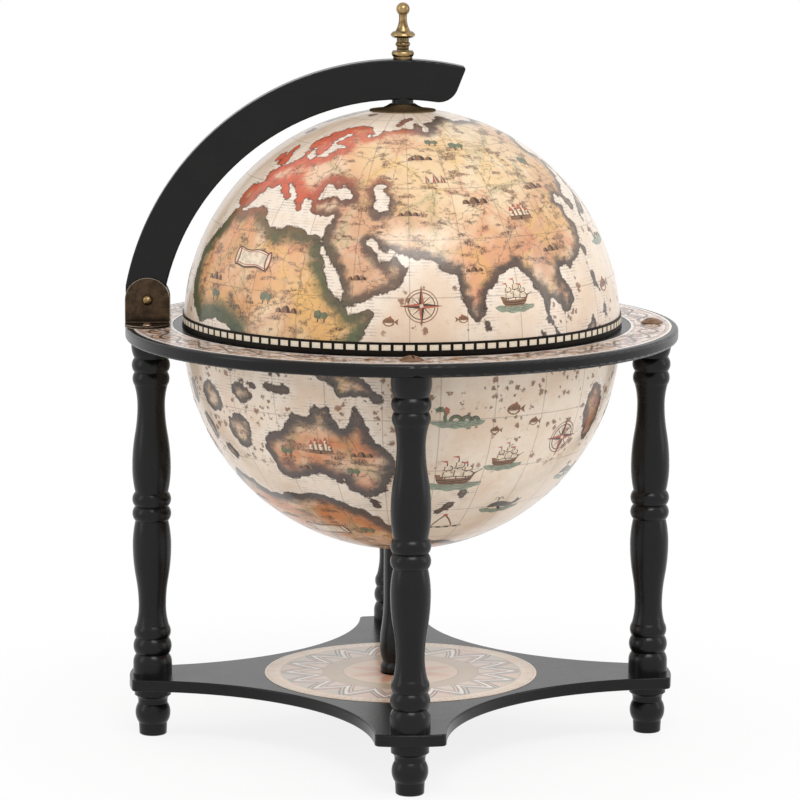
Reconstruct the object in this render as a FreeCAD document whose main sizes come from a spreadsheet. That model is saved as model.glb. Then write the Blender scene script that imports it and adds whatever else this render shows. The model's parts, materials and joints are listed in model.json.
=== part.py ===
"""Floor globe bar: a turned four-legged stand that carries a globe whose upper half tips back.

Millimetres, +Z up. The origin is on the floor, on the globe's upright axis. The arm that carries the
dome lies in the XZ plane, with its hinge at -X over the left leg, whose screw is sunk in the ring so
that the arm's heel can turn above it.
"""
import FreeCAD, Part
import math
import os

import Sketcher

DIMENSIONS = {
    # globe
    "globe_radius": 166,
    "dome_wall": 3,
    "bowl_wall": 3,
    "lid_gap": 0.3,              # the closed dome's rim above the ring
    "dome_sink": 2,              # the dome's centre below its rim
    "bowl_set_down": 0.2,        # the bowl's rim below the top of the ring
    "bowl_centre_rise": 4,       # the bowl's centre above the underside of the ring
    "hoop_thickness": 6,
    "dome_hoop_height": 12,
    "band_height": 9.4,
    "band_proud": 0.6,
    "band_lip_proud": 1.1,
    "band_lip_height": 0.8,
    # table ring and its print
    "ring_width": 43.8,
    "ring_thickness": 9.7,
    "ring_edge_round": 2.5,
    "print_thickness": 0.3,
    "ring_print_outer_margin": 5.1,
    "ring_print_inner_margin": 8,
    # legs
    "leg_inset": 19.2,           # leg axis from the ring's outer edge
    "leg_height": 261.3,
    "leg_groove_radius": 12.6,
    "leg_block_radius": 14.9,
    "leg_block_height": 15.5,
    "leg_block_straight": 9,
    "leg_low_bead_height": 12.6,
    "leg_low_bead_radius": 14.7,
    "leg_small_bead_height": 10,
    "leg_small_bead_radius": 14.1,
    "leg_neck_radius": 10.5,
    "leg_neck_rise": 15.4,       # narrowest place from the small bead's edge
    "leg_swell_radius": 14.75,
    "leg_swell_drop": 19,        # widest place from the middle beads' edge
    "leg_mid_bead_height": 11.1,
    "leg_mid_bead_radius": 14.85,
    "leg_top_bead_height": 11,
    "leg_top_bead_radius": 14.6,
    "leg_collar_radius": 14.9,
    "leg_collar_height": 16,
    "leg_collar_straight": 6,
    # feet
    "foot_height": 38.5,
    "foot_edge": 0.8,
    "foot_base_radius": 10.5,
    "foot_ankle_radius": 10.9,
    "foot_ankle_height": 9.2,
    "foot_bulb_radius": 13.45,
    "foot_bulb_height": 15.3,
    "foot_waist_radius": 11.3,
    "foot_waist_height": 2.2,
    "foot_cap_radius": 14,
    "foot_cap_height": 7.4,
    # lower shelf
    "shelf_thickness": 9,
    "shelf_overhang": 14.7,      # corners of each end past the leg axis
    "shelf_end_half_width": 26,
    "shelf_end_crown": 3,
    "shelf_waist": 113,          # the hollow sides' nearest place to the axis
    "shelf_corner_round": 4.5,
    "shelf_edge_round": 1.2,
    "shelf_print_radius": 104.6,
    # centre post
    "post_base_radius": 15.6,
    "post_base_height": 9.2,
    "post_groove_radius": 14,
    "post_bulb_radius": 16.1,
    "post_bulb_rise": 11.3,
    "post_shaft_radius": 13.2,
    "post_taper_height": 37.5,
    # hinge
    "hinge_half_width": 17,
    "hinge_plate": 2,
    "hinge_side_play": 0.3,
    "hinge_foot": 21,            # reach of each foot from its cheek
    "hinge_bend_round": 1.2,
    "pin_height": 19.6,          # hinge pin above the ring
    "pin_radius": 2.5,
    "pin_head_radius": 3.9,
    "pin_head_height": 2.8,
    "pin_tail": 3,
    "pin_cap_radius": 4.5,
    "pin_cap_height": 4,
    # arm
    "arm_thickness": 16,
    "arm_width": 30.1,
    "arm_centre_drop": 10.9,     # centre of the arm's arcs below the ring's top
    "arm_centre_back": 1.3,      # and towards the hinge
    "arm_heel_radius": 16.4,
    "arm_tip_top_reach": 47.8,
    "arm_tip_low_reach": 36.6,
    "arm_tip_top_round": 2.2,
    "arm_tip_low_round": 15,
    "arm_edge_round": 1.2,
    "arm_seat_depth": 0.8,
    # pole fittings
    "pole_gap": 6.9,             # arm above the dome's top
    "spindle_radius": 3,
    "spindle_tail": 2,
    "flange_radius": 25,
    "flange_rim": 0.8,
    "flange_top_radius": 9.6,
    "flange_height": 3.4,
    "flange_hollow": 1.3,
    "neck_radius": 8.2,
    "spin_play": 0.3,
    "pole_block_radius": 18,
    "pole_block_depth": 8,
    "pole_washer_radius": 9,
    "pole_washer_thickness": 1.6,
    "pole_nut_radius": 5.77,     # corner radius of the hexagon
    "pole_nut_height": 5,
    # finial
    "finial_height": 43.4,
    "finial_bore_depth": 16,
    "finial_collar_radius": 7.3,
    "finial_collar_height": 2.7,
    "finial_disc_radius": 8.5,
    "finial_disc_height": 4.5,
    "finial_neck_radius": 4.6,
    "finial_low_neck": 3.1,
    "finial_bead_radius": 5.6,
    "finial_bead_height": 3.4,
    "finial_high_neck": 2.7,
    "finial_rim_radius": 9.4,
    "finial_rim_rise": 2.4,      # from the upper neck to the bell's widest place
    "finial_lip_radius": 5.7,
    "finial_lip_height": 3.1,
    "finial_lip_round": 0.8,
    "finial_bell_hollow": 1.1,
    "finial_top_neck_radius": 3.2,
    "finial_ball_radius": 5.05,
    # inside fittings
    "tray_depth": 42,            # top of the glass tray below the ring's top
    "tray_thickness": 6,
    "bottle_hole_radius": 42,
    "glass_hole_radius": 30,
    "glass_circle_radius": 92,
    "glass_count": 6,
    "floor_rise": 68,            # the bottle floor above the bowl's inner bottom
    "floor_thickness": 6,
    # fasteners and fits
    "leg_screw_radius": 3.5,
    "leg_screw_length": 45,
    "leg_screw_head_radius": 8.5,
    "leg_screw_head_height": 3.8,
    "leg_screw_rim": 0.8,
    "leg_screw_slot_width": 1.6,
    "leg_screw_slot_depth": 1.4,
    "sunk_head_radius": 6,
    "sunk_head_height": 3.6,
    "stud_radius": 3,
    "stud_foot_depth": 22,
    "stud_leg_depth": 25,
    "post_screw_radius": 2.5,
    "post_screw_depth": 22,
    "post_screw_head_radius": 5,
    "post_screw_head_height": 3,
    "bowl_washer_radius": 12,
    "bowl_washer_thickness": 2,
    "rim_screw_radius": 1.6,
    "rim_screw_bite": 12,
    "rim_screw_head_radius": 3,
    "rim_screw_head_height": 1.4,
    "rim_screw_count": 8,
    "hinge_screw_radius": 1.8,
    "hinge_screw_bite": 7,
    "hinge_screw_head_radius": 3.6,
    "hinge_screw_head_height": 2,
    "hinge_screw_slot_width": 1,
    "hinge_screw_slot_depth": 0.9,
    "hinge_screw_reach": 11.2,   # from the cheek
    "bore_end_room": 1.5,        # free length at the end of a blind bore
    "screw_fit": 0.1,
    "seat_fit": 0.1,
    "bowl_fit": 0.2,
    "running_fit": 0.05,
}
OGEE_SHARE = 0.45                # where a turned neck's hollow turns into the swell
POST_OGEE_SHARE = 0.4
SLOT_TURNS = {"front": -73, "right": 25, "back": 140}    # degrees of the leg screws' slots from X
OVERCUT = 3                      # how far a cut runs past the surface it opens
SAME_PLACE = 1e-4                # two places closer than this are one place


class Size:
    """A length that knows its value and the sheet expression that gives it."""

    def __init__(self, value, text):
        self.value = value
        self.text = text

    def __add__(self, other):
        other = as_size(other)
        return Size(self.value + other.value, f"({self.text} + {other.text})")

    def __sub__(self, other):
        other = as_size(other)
        return Size(self.value - other.value, f"({self.text} - {other.text})")

    def __mul__(self, other):
        other = as_size(other)
        return Size(self.value * other.value, f"({self.text} * {other.text})")

    def __truediv__(self, other):
        other = as_size(other)
        return Size(self.value / other.value, f"({self.text} / {other.text})")

    def __rsub__(self, other):
        return as_size(other) - self

    def __neg__(self):
        return Size(-self.value, f"(-1 * {self.text})")

    __radd__ = __add__
    __rmul__ = __mul__


def as_size(number):
    if isinstance(number, Size):
        return number
    return Size(float(number), repr(float(number)))


def root(size):
    return Size(math.sqrt(size.value), f"sqrt({size.text})")


def leg_of(radius, side):
    """The other short side of a right triangle, such as a sphere's radius at a height."""
    return root(radius * radius - side * side)


def square_to(across, along):
    """Radius of an arc that starts square to `across` and ends `across` aside, `along` further."""
    return (across * across + along * along) / (2 * across)


doc = FreeCAD.newDocument("globe_bar")
sheet = doc.addObject("Spreadsheet::Sheet", "Sizes")
for row, (alias, number) in enumerate(DIMENSIONS.items(), start=1):
    sheet.set(f"A{row}", alias)
    sheet.set(f"B{row}", str(number))
    sheet.setAlias(f"B{row}", alias)
doc.recompute()


class Dimensions:
    """The sheet's cells by name."""

    def __getattr__(self, alias):
        return Size(float(sheet.get(alias)), f"Sizes.{alias}")


dim = Dimensions()
parts = []

# Heights and radii that several pieces share
shelf_top = dim.foot_height + dim.shelf_thickness
ring_bottom = shelf_top + dim.leg_height
ring_top = ring_bottom + dim.ring_thickness
print_top = ring_top + dim.print_thickness
ring_bore = dim.globe_radius + dim.bowl_fit
ring_radius = ring_bore + dim.ring_width
leg_circle = ring_radius - dim.leg_inset
bowl_inner = dim.globe_radius - dim.bowl_wall
bowl_centre = ring_bottom + dim.bowl_centre_rise
bowl_rim = ring_top - dim.bowl_set_down
dome_inner = dim.globe_radius - dim.dome_wall
dome_centre = ring_top + dim.lid_gap - dim.dome_sink
dome_top = dome_centre + dim.globe_radius
pin_reach = ring_radius - dim.hinge_half_width
pin_z = ring_top + dim.pin_height
arm_half = dim.arm_thickness / 2
cheek_inner = arm_half + dim.hinge_side_play
cheek_outer = cheek_inner + dim.hinge_plate
arm_centre = ring_top - dim.arm_centre_drop
arm_under = dome_top + dim.pole_gap
arm_inner = arm_under - arm_centre
arm_outer = arm_inner + dim.arm_width
arm_top = arm_under + dim.arm_width
pole_bore = dim.spindle_radius + dim.running_fit
finial_base = arm_top - dim.arm_seat_depth
stud_bore = dim.stud_radius + dim.screw_fit
leg_screw_bore = dim.leg_screw_radius + dim.screw_fit
post_bore = dim.post_screw_radius + dim.screw_fit

# Places of the four legs
LEGS = {
    "front": (0, -leg_circle),
    "right": (leg_circle, 0),
    "back": (0, leg_circle),
    "left": (-leg_circle, 0),
}

# Places of the hinge's two screws
hinge_screw_bore = dim.hinge_screw_radius + dim.screw_fit
hinge_screw_aside = cheek_outer + dim.hinge_screw_reach
HINGE_SCREWS = {"front": (-pin_reach, -hinge_screw_aside), "rear": (-pin_reach, hinge_screw_aside)}


class Outline:
    """A closed outline of straight and round stretches, every corner tied to the sheet."""

    def __init__(self, x, y):
        self.corners = [(x, y)]
        self.stretches = []
        self.closing = None

    def line(self, x, y):
        self.corners.append((x, y))
        self.stretches.append(None)
        return self

    def arc(self, x, y, radius, turn):
        """Arc to a corner; turn 1 keeps the centre on the left of the way, -1 on the right."""
        self.corners.append((x, y))
        self.stretches.append((radius, turn))
        return self

    def bulge(self, x, y, rise, turn=1):
        """Arc that stands `rise` off its chord: to the right of the way, or to the left for turn -1."""
        return self.arc(x, y, bulge_radius(self.corners[-1], (x, y), rise), turn)

    def close_arc(self, radius, turn):
        """Arc back to the first corner, in place of a straight closing stretch."""
        self.closing = (radius, turn)
        return self

    def close_bulge(self, rise, turn=1):
        return self.close_arc(bulge_radius(self.corners[-1], self.corners[0], rise), turn)

    def draw(self, sketch):
        corners = [[as_size(value).value for value in corner] for corner in self.corners]
        stretches = self.stretches + [self.closing]
        starts = []
        ends = []
        shapes = []
        for index, stretch in enumerate(stretches):
            here = corners[index]
            there = corners[(index + 1) % len(corners)]
            backwards = stretch is not None and stretch[1] < 0
            starts.append(2 if backwards else 1)
            ends.append(1 if backwards else 2)
            shapes.append(stretch_shape(here, there, stretch))
        sketch.addGeometry(shapes, False)
        ties = Ties(sketch)
        for index, stretch in enumerate(stretches):
            following = (index + 1) % len(stretches)
            ties.add(None, "Coincident", index, ends[index], following, starts[following])
            x, y = self.corners[index]
            ties.locate(index, starts[index], x, y)
            if stretch is not None:
                ties.add(stretch[0], "Radius", index)
        ties.apply()


def bulge_radius(here, there, rise):
    across = as_size(there[0]) - here[0]
    along = as_size(there[1]) - here[1]
    return (across * across + along * along) / (8 * rise) + rise / 2


def stretch_shape(here, there, stretch):
    """Line or arc between two corners; arcs run anticlockwise whatever way the outline goes."""
    start = FreeCAD.Vector(*here, 0)
    end = FreeCAD.Vector(*there, 0)
    if stretch is None:
        return Part.LineSegment(start, end)
    radius = stretch[0].value
    turn = stretch[1]
    way = end - start
    left = FreeCAD.Vector(-way.y, way.x, 0).normalize()
    rise = math.sqrt(max(radius ** 2 - (way.Length / 2) ** 2, 0))
    centre = (start + end) / 2 + left * (turn * rise)
    first, last = (start, end) if turn > 0 else (end, start)
    first_angle = math.atan2(first.y - centre.y, first.x - centre.x)
    last_angle = math.atan2(last.y - centre.y, last.x - centre.x)
    circle = Part.Circle(centre, FreeCAD.Vector(0, 0, 1), radius)
    return Part.ArcOfCircle(circle, first_angle, last_angle)


class Ties:
    """Constraints of one sketch, gathered with the sheet expressions that drive them."""

    def __init__(self, sketch):
        self.sketch = sketch
        self.constraints = []
        self.expressions = {}

    def add(self, size, kind, *places):
        values = list(places)
        if size is not None:
            self.expressions[len(self.constraints)] = size.text
            values.append(size.value)
        self.constraints.append(Sketcher.Constraint(kind, *values))

    def locate(self, shape, point, x, y):
        """Ties a point to the sketch's axes: on an axis where the place is 0, else at a distance."""
        if isinstance(x, Size):
            self.add(x, "DistanceX", -1, 1, shape, point)
        else:
            self.add(None, "PointOnObject", shape, point, -2)
        if isinstance(y, Size):
            self.add(y, "DistanceY", -1, 1, shape, point)
        else:
            self.add(None, "PointOnObject", shape, point, -1)

    def apply(self):
        self.sketch.addConstraint(self.constraints)
        for index, text in self.expressions.items():
            self.sketch.setExpression(f"Constraints[{index}]", text)


def origin_feature(body, role):
    return next(feature for feature in body.Origin.OriginFeatures if feature.Role == role)


def new_body(label):
    body = doc.addObject("PartDesign::Body", label)
    body.Label = label
    return body


def new_sketch(body, role, name, offset=None):
    """Sketch on one of the body's own planes, moved along the plane's normal by `offset`."""
    sketch = body.newObject("Sketcher::SketchObject", f"{body.Label}_{name}")
    sketch.AttachmentSupport = (origin_feature(body, role), "")
    sketch.MapMode = "FlatFace"
    if offset is not None:
        sketch.setExpression("AttachmentOffset.Base.z", offset.text)
    return sketch


def add_feature(body, kind, name, sketch):
    feature = body.newObject(f"PartDesign::{kind}", f"{body.Label}_{name}")
    feature.Profile = sketch
    return feature


def turned(label, outline):
    """Body turned about its own Z axis."""
    body = new_body(label)
    sketch = new_sketch(body, "XZ_Plane", "profile")
    outline.draw(sketch)
    revolution = add_feature(body, "Revolution", "turning", sketch)
    revolution.ReferenceAxis = (sketch, ["V_Axis"])
    revolution.Angle = 360
    return body


def pad(body, name, role, outline, length, offset=None, symmetric=False):
    sketch = new_sketch(body, role, f"{name}_outline", offset)
    outline.draw(sketch)
    feature = add_feature(body, "Pad", name, sketch)
    feature.setExpression("Length", length.text)
    if symmetric:
        feature.SideType = "Symmetric"
    return feature


def circle_sketch(body, name, role, places, radius, offset=None):
    sketch = new_sketch(body, role, name, offset)
    normal = FreeCAD.Vector(0, 0, 1)
    circles = []
    for x, y in places:
        centre = FreeCAD.Vector(as_size(x).value, as_size(y).value, 0)
        circles.append(Part.Circle(centre, normal, radius.value))
    sketch.addGeometry(circles, False)
    ties = Ties(sketch)
    for index, (x, y) in enumerate(places):
        ties.locate(index, 3, x, y)
        ties.add(radius, "Radius", index)
    ties.apply()
    return sketch


def drill(body, name, role, places, radius):
    """Round holes right through the body, square to one of its planes."""
    doc.recompute()
    volume = body.Shape.Volume
    sketch = circle_sketch(body, f"{name}_circles", role, places, radius)
    pocket = add_feature(body, "Pocket", name, sketch)
    pocket.Type = "ThroughAll"
    pocket.SideType = "Symmetric"
    doc.recompute()
    if body.Shape.Volume >= volume:
        raise ValueError(f"{body.Label}: {name} cuts nothing")
    return pocket


def counterbore(body, name, spot, radius, depth, top):
    """Flat-bottomed round recess from the body's top."""
    doc.recompute()
    volume = body.Shape.Volume
    sketch = circle_sketch(body, f"{name}_circle", "XY_Plane", [spot], radius, top)
    pocket = add_feature(body, "Pocket", name, sketch)
    pocket.setExpression("Length", depth.text)
    doc.recompute()
    if body.Shape.Volume >= volume:
        raise ValueError(f"{body.Label}: {name} cuts nothing")


def repeat_around(body, name, feature, count):
    pattern = body.newObject("PartDesign::PolarPattern", f"{body.Label}_{name}")
    pattern.Originals = [feature]
    pattern.Axis = (origin_feature(body, "Z_Axis"), [""])
    pattern.Angle = 360
    pattern.setExpression("Occurrences", count.text)
    body.Tip = pattern
    return pattern


def round_edges(body, name, radius, chosen):
    """Fillet on the edges of the body that `chosen` picks."""
    doc.recompute()
    tip = body.Tip
    names = []
    for index, edge in enumerate(tip.Shape.Edges, start=1):
        if chosen(edge):
            names.append(f"Edge{index}")
    fillet = body.newObject("PartDesign::Fillet", f"{body.Label}_{name}")
    fillet.Base = (tip, names)
    fillet.setExpression("Radius", radius.text)
    return fillet


def near(value, size):
    return abs(value - as_size(size).value) < SAME_PLACE


def place(body, x=0, y=0, z=0):
    for axis, distance in (("x", x), ("y", y), ("z", z)):
        if isinstance(distance, Size):
            body.setExpression(f"Placement.Base.{axis}", distance.text)
    return body


def finished(body):
    parts.append(body)
    return body


def group(label, bodies):
    """One node of several separate solids."""
    compound = doc.addObject("Part::Compound", label)
    compound.Label = label
    compound.Links = bodies
    return finished(compound)


def annulus(label, inner, outer, height):
    outline = Outline(inner, 0).line(outer, 0).line(outer, height).line(inner, height)
    return turned(label, outline)


def dome_head_screw(label, radius, length, head_radius, head_height, rim=None):
    """Screw with a domed head on an upright rim, its seat at z = 0 and its shank downwards."""
    outline = Outline(0, -length).line(radius, -length).line(radius, 0).line(head_radius, 0)
    crown = head_height
    if rim is not None:
        outline.line(head_radius, rim)
        crown = head_height - rim
    outline.arc(0, head_height, square_to(crown, head_radius), 1)
    return turned(label, outline)


def cut_slot(screw, head_radius, head_height, width, depth):
    """Screwdriver slot across the head."""
    doc.recompute()
    volume = screw.Shape.Volume
    half = head_radius + OVERCUT
    floor = head_height - depth
    roof = head_height + OVERCUT
    outline = Outline(-half, floor).line(half, floor).line(half, roof).line(-half, roof)
    sketch = new_sketch(screw, "XZ_Plane", "slot_outline")
    outline.draw(sketch)
    pocket = add_feature(screw, "Pocket", "slot", sketch)
    pocket.SideType = "Symmetric"
    pocket.setExpression("Length", width.text)
    doc.recompute()
    if screw.Shape.Volume >= volume:
        raise ValueError(f"{screw.Label}: the slot cuts nothing")


def leg_outline():
    """Leg from its block on the shelf to its collar under the ring, bored at both ends."""
    groove = dim.leg_groove_radius
    neck = dim.leg_neck_radius
    swell = dim.leg_swell_radius
    block_top = dim.leg_block_height
    low_bead_top = block_top + dim.leg_low_bead_height
    low_small_top = low_bead_top + dim.leg_small_bead_height
    low_neck = low_small_top + dim.leg_neck_rise
    middle = dim.leg_height / 2
    mid_low = middle - dim.leg_mid_bead_height
    mid_high = middle + dim.leg_mid_bead_height
    low_swell = mid_low - dim.leg_swell_drop
    high_swell = mid_high + dim.leg_swell_drop
    collar_bottom = dim.leg_height - dim.leg_collar_height
    top_bead_bottom = collar_bottom - dim.leg_top_bead_height
    top_small_bottom = top_bead_bottom - dim.leg_small_bead_height
    high_neck = top_small_bottom - dim.leg_neck_rise
    collar_straight = dim.leg_height - dim.leg_collar_straight
    small_rise = dim.leg_small_bead_radius - groove
    mid_rise = dim.leg_mid_bead_radius - groove
    cove = square_to(groove - neck, dim.leg_neck_rise)
    shoulder = square_to(swell - groove, dim.leg_swell_drop)
    low_ogee = square_to(swell - neck, low_swell - low_neck)
    high_ogee = square_to(swell - neck, high_neck - high_swell)
    turn_radius = neck + (swell - neck) * OGEE_SHARE
    low_turn = low_neck + (low_swell - low_neck) * OGEE_SHARE
    high_turn = high_neck - (high_neck - high_swell) * OGEE_SHARE
    block_round = square_to(dim.leg_block_radius - groove, block_top - dim.leg_block_straight)
    collar_round = square_to(dim.leg_collar_radius - groove, collar_straight - collar_bottom)

    outline = Outline(stud_bore, 0)
    outline.line(dim.leg_block_radius, 0)
    outline.line(dim.leg_block_radius, dim.leg_block_straight)
    outline.arc(groove, block_top, block_round, 1)
    outline.bulge(groove, low_bead_top, dim.leg_low_bead_radius - groove)
    outline.bulge(groove, low_small_top, small_rise)
    outline.arc(neck, low_neck, cove, -1)
    outline.arc(turn_radius, low_turn, low_ogee * OGEE_SHARE, -1)
    outline.arc(swell, low_swell, low_ogee * (1 - OGEE_SHARE), 1)
    outline.arc(groove, mid_low, shoulder, 1)
    outline.bulge(groove, middle, mid_rise)
    outline.bulge(groove, mid_high, mid_rise)
    outline.arc(swell, high_swell, shoulder, 1)
    outline.arc(turn_radius, high_turn, high_ogee * (1 - OGEE_SHARE), 1)
    outline.arc(neck, high_neck, high_ogee * OGEE_SHARE, -1)
    outline.arc(groove, top_small_bottom, cove, -1)
    outline.bulge(groove, top_bead_bottom, small_rise)
    outline.bulge(groove, collar_bottom, dim.leg_top_bead_radius - groove)
    outline.arc(dim.leg_collar_radius, collar_straight, collar_round, 1)
    outline.line(dim.leg_collar_radius, dim.leg_height)
    outline.line(leg_screw_bore, dim.leg_height)
    screw_in_leg = dim.leg_screw_length - dim.ring_thickness - dim.print_thickness
    screw_end = dim.leg_height - screw_in_leg - dim.bore_end_room
    stud_end = dim.stud_leg_depth + dim.bore_end_room
    outline.line(leg_screw_bore, screw_end)
    outline.line(0, screw_end)
    outline.line(0, stud_end)
    outline.line(stud_bore, stud_end)
    return outline


def foot_outline():
    """Turned foot from the floor to the shelf, bored for its stud."""
    bulb_top = dim.foot_ankle_height + dim.foot_bulb_height
    waist_top = bulb_top + dim.foot_waist_height
    cap_bottom = dim.foot_height - dim.foot_cap_height
    bulb_rise = dim.foot_bulb_radius - (dim.foot_ankle_radius + dim.foot_waist_radius) / 2
    cove = square_to(dim.foot_cap_radius - dim.foot_waist_radius, cap_bottom - waist_top)
    stud_end = dim.foot_height - dim.stud_foot_depth - dim.bore_end_room
    outline = Outline(0, 0)
    outline.line(dim.foot_base_radius - dim.foot_edge, 0)
    outline.line(dim.foot_base_radius, dim.foot_edge)
    outline.line(dim.foot_ankle_radius, dim.foot_ankle_height)
    outline.bulge(dim.foot_waist_radius, bulb_top, bulb_rise)
    outline.line(dim.foot_waist_radius, waist_top)
    outline.arc(dim.foot_cap_radius, cap_bottom, cove, -1)
    outline.line(dim.foot_cap_radius, dim.foot_height)
    outline.line(stud_bore, dim.foot_height)
    outline.line(stud_bore, stud_end)
    outline.line(0, stud_end)
    return outline


def make_legs():
    """Legs, feet and the studs that join them through the shelf."""
    studs = []
    stud_length = dim.stud_foot_depth + dim.shelf_thickness + dim.stud_leg_depth
    for side, (x, y) in LEGS.items():
        finished(place(turned(f"leg_{side}", leg_outline()), x, y, shelf_top))
        finished(place(turned(f"foot_{side}", foot_outline()), x, y))
        rod = Outline(0, 0).line(dim.stud_radius, 0).line(dim.stud_radius, stud_length).line(0, stud_length)
        stud = turned(f"foot_stud_{side}", rod)
        studs.append(place(stud, x, y, dim.foot_height - dim.stud_foot_depth))
    group("foot_studs", studs)


def make_shelf():
    """Star-shaped shelf: four blunt ends under the legs, joined by hollow sides."""
    body = new_body("shelf")
    place(body, z=dim.foot_height)
    reach = leg_circle + dim.shelf_overhang
    half = dim.shelf_end_half_width
    hollow = (reach + half) / math.sqrt(2) - dim.shelf_waist
    corners = []
    low = (reach, -half)
    high = (reach, half)
    for _ in range(4):
        corners += [low, high]
        low = (-low[1], low[0])
        high = (-high[1], high[0])
    outline = Outline(*corners[0])
    for index, corner in enumerate(corners[1:]):
        at_end = index % 2 == 0
        outline.bulge(*corner, dim.shelf_end_crown if at_end else hollow, 1 if at_end else -1)
    outline.close_bulge(hollow, -1)
    pad(body, "board", "XY_Plane", outline, dim.shelf_thickness)
    round_edges(body, "corners", dim.shelf_corner_round, upright)
    round_edges(body, "rims", dim.shelf_edge_round, lambda edge: not upright(edge))
    drill(body, "stud_holes", "XY_Plane", list(LEGS.values()), stud_bore)
    drill(body, "post_hole", "XY_Plane", [(0, 0)], post_bore)
    finished(body)
    print_inner = dim.post_base_radius + dim.seat_fit
    shelf_print = annulus("shelf_print", print_inner, dim.shelf_print_radius, dim.print_thickness)
    finished(place(shelf_print, z=shelf_top))


def upright(edge):
    box = edge.BoundBox
    return box.ZLength > SAME_PLACE and box.XLength < SAME_PLACE and box.YLength < SAME_PLACE


def make_post():
    """Turned post from the shelf to the bowl, with a screw at each end."""
    seat_radius = dim.globe_radius + dim.seat_fit
    centre = bowl_centre - shelf_top
    groove = dim.post_groove_radius
    bulb = dim.post_bulb_radius
    shaft = dim.post_shaft_radius
    base_top = dim.post_base_height
    bulb_z = base_top + dim.post_bulb_rise
    shaft_z = bulb_z + dim.post_taper_height
    ogee = square_to(bulb - shaft, dim.post_taper_height)
    turn_radius = bulb - (bulb - shaft) * POST_OGEE_SHARE
    turn_z = bulb_z + dim.post_taper_height * POST_OGEE_SHARE
    seat_edge = centre - leg_of(seat_radius, shaft)
    seat_middle = centre - leg_of(seat_radius, post_bore)
    bore_length = dim.post_screw_depth + dim.bore_end_room
    outline = Outline(post_bore, 0)
    outline.line(groove, 0)
    outline.bulge(groove, base_top, dim.post_base_radius - groove)
    outline.arc(bulb, bulb_z, square_to(bulb - groove, dim.post_bulb_rise), 1)
    outline.arc(turn_radius, turn_z, ogee * POST_OGEE_SHARE, 1)
    outline.arc(shaft, shaft_z, ogee * (1 - POST_OGEE_SHARE), -1)
    outline.line(shaft, seat_edge)
    outline.arc(post_bore, seat_middle, seat_radius, -1)
    outline.line(post_bore, seat_middle - bore_length)
    outline.line(0, seat_middle - bore_length)
    outline.line(0, bore_length)
    outline.line(post_bore, bore_length)
    finished(place(turned("centre_post", outline), z=shelf_top))

    base_length = dim.shelf_thickness + dim.post_screw_depth
    base_screw = dome_head_screw("post_screw", dim.post_screw_radius, base_length,
                                 dim.post_screw_head_radius, dim.post_screw_head_height)
    base_screw.Placement.Rotation = FreeCAD.Rotation(FreeCAD.Vector(1, 0, 0), 180)
    finished(place(base_screw, z=dim.foot_height))

    washer_z = bowl_centre - leg_of(bowl_inner, dim.bowl_washer_radius) + dim.seat_fit
    washer = annulus("bowl_washer", post_bore, dim.bowl_washer_radius, dim.bowl_washer_thickness)
    finished(place(washer, z=washer_z))
    head_seat = washer_z + dim.bowl_washer_thickness
    top_length = head_seat - shelf_top - seat_middle + dim.post_screw_depth
    bowl_screw = dome_head_screw("bowl_screw", dim.post_screw_radius, top_length,
                                 dim.post_screw_head_radius, dim.post_screw_head_height)
    finished(place(bowl_screw, z=head_seat))


def drill_rim(body, depth, height):
    """Holes of the rim screws, drilled outwards from the axis to a given radius."""
    doc.recompute()
    volume = body.Shape.Volume
    radius = dim.rim_screw_radius + dim.screw_fit
    sketch = circle_sketch(body, "rim_circle", "YZ_Plane", [(0, height)], radius)
    pocket = add_feature(body, "Pocket", "rim_hole", sketch)
    pocket.Reversed = True
    pocket.setExpression("Length", depth.text)
    repeat_around(body, "rim_holes", pocket, dim.rim_screw_count)
    doc.recompute()
    if body.Shape.Volume >= volume:
        raise ValueError(f"{body.Label}: the rim holes cut nothing")


def make_ring():
    """Table ring with the holes of its screws, its print, and the leg screws."""
    ring = annulus("ring", ring_bore, ring_radius, dim.ring_thickness)
    round_edges(ring, "outer_round", dim.ring_edge_round, lambda edge: is_circle(edge, ring_radius))
    drill(ring, "leg_screw_holes", "XY_Plane", list(LEGS.values()), leg_screw_bore)
    drill(ring, "hinge_screw_holes", "XY_Plane", list(HINGE_SCREWS.values()), hinge_screw_bore)
    sunk_bore = dim.sunk_head_radius + dim.screw_fit
    counterbore(ring, "sunk_head_seat", LEGS["left"], sunk_bore, dim.sunk_head_height, dim.ring_thickness)
    pilot_end = ring_bore + dim.rim_screw_bite + dim.bore_end_room
    drill_rim(ring, pilot_end, dim.ring_thickness / 2)
    finished(place(ring, z=ring_bottom))

    inner = ring_bore + dim.ring_print_inner_margin
    outer = ring_radius - dim.ring_print_outer_margin
    ring_print = annulus("ring_print", inner, outer, dim.print_thickness)
    free_places = [LEGS[side] for side in SLOT_TURNS]
    drill(ring_print, "leg_screw_holes", "XY_Plane", free_places, leg_screw_bore)
    drill(ring_print, "sunk_screw_hole", "XY_Plane", [LEGS["left"]], sunk_bore)
    drill(ring_print, "hinge_screw_holes", "XY_Plane", list(HINGE_SCREWS.values()), hinge_screw_bore)
    finished(place(ring_print, z=ring_top))
    make_leg_screws()


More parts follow.
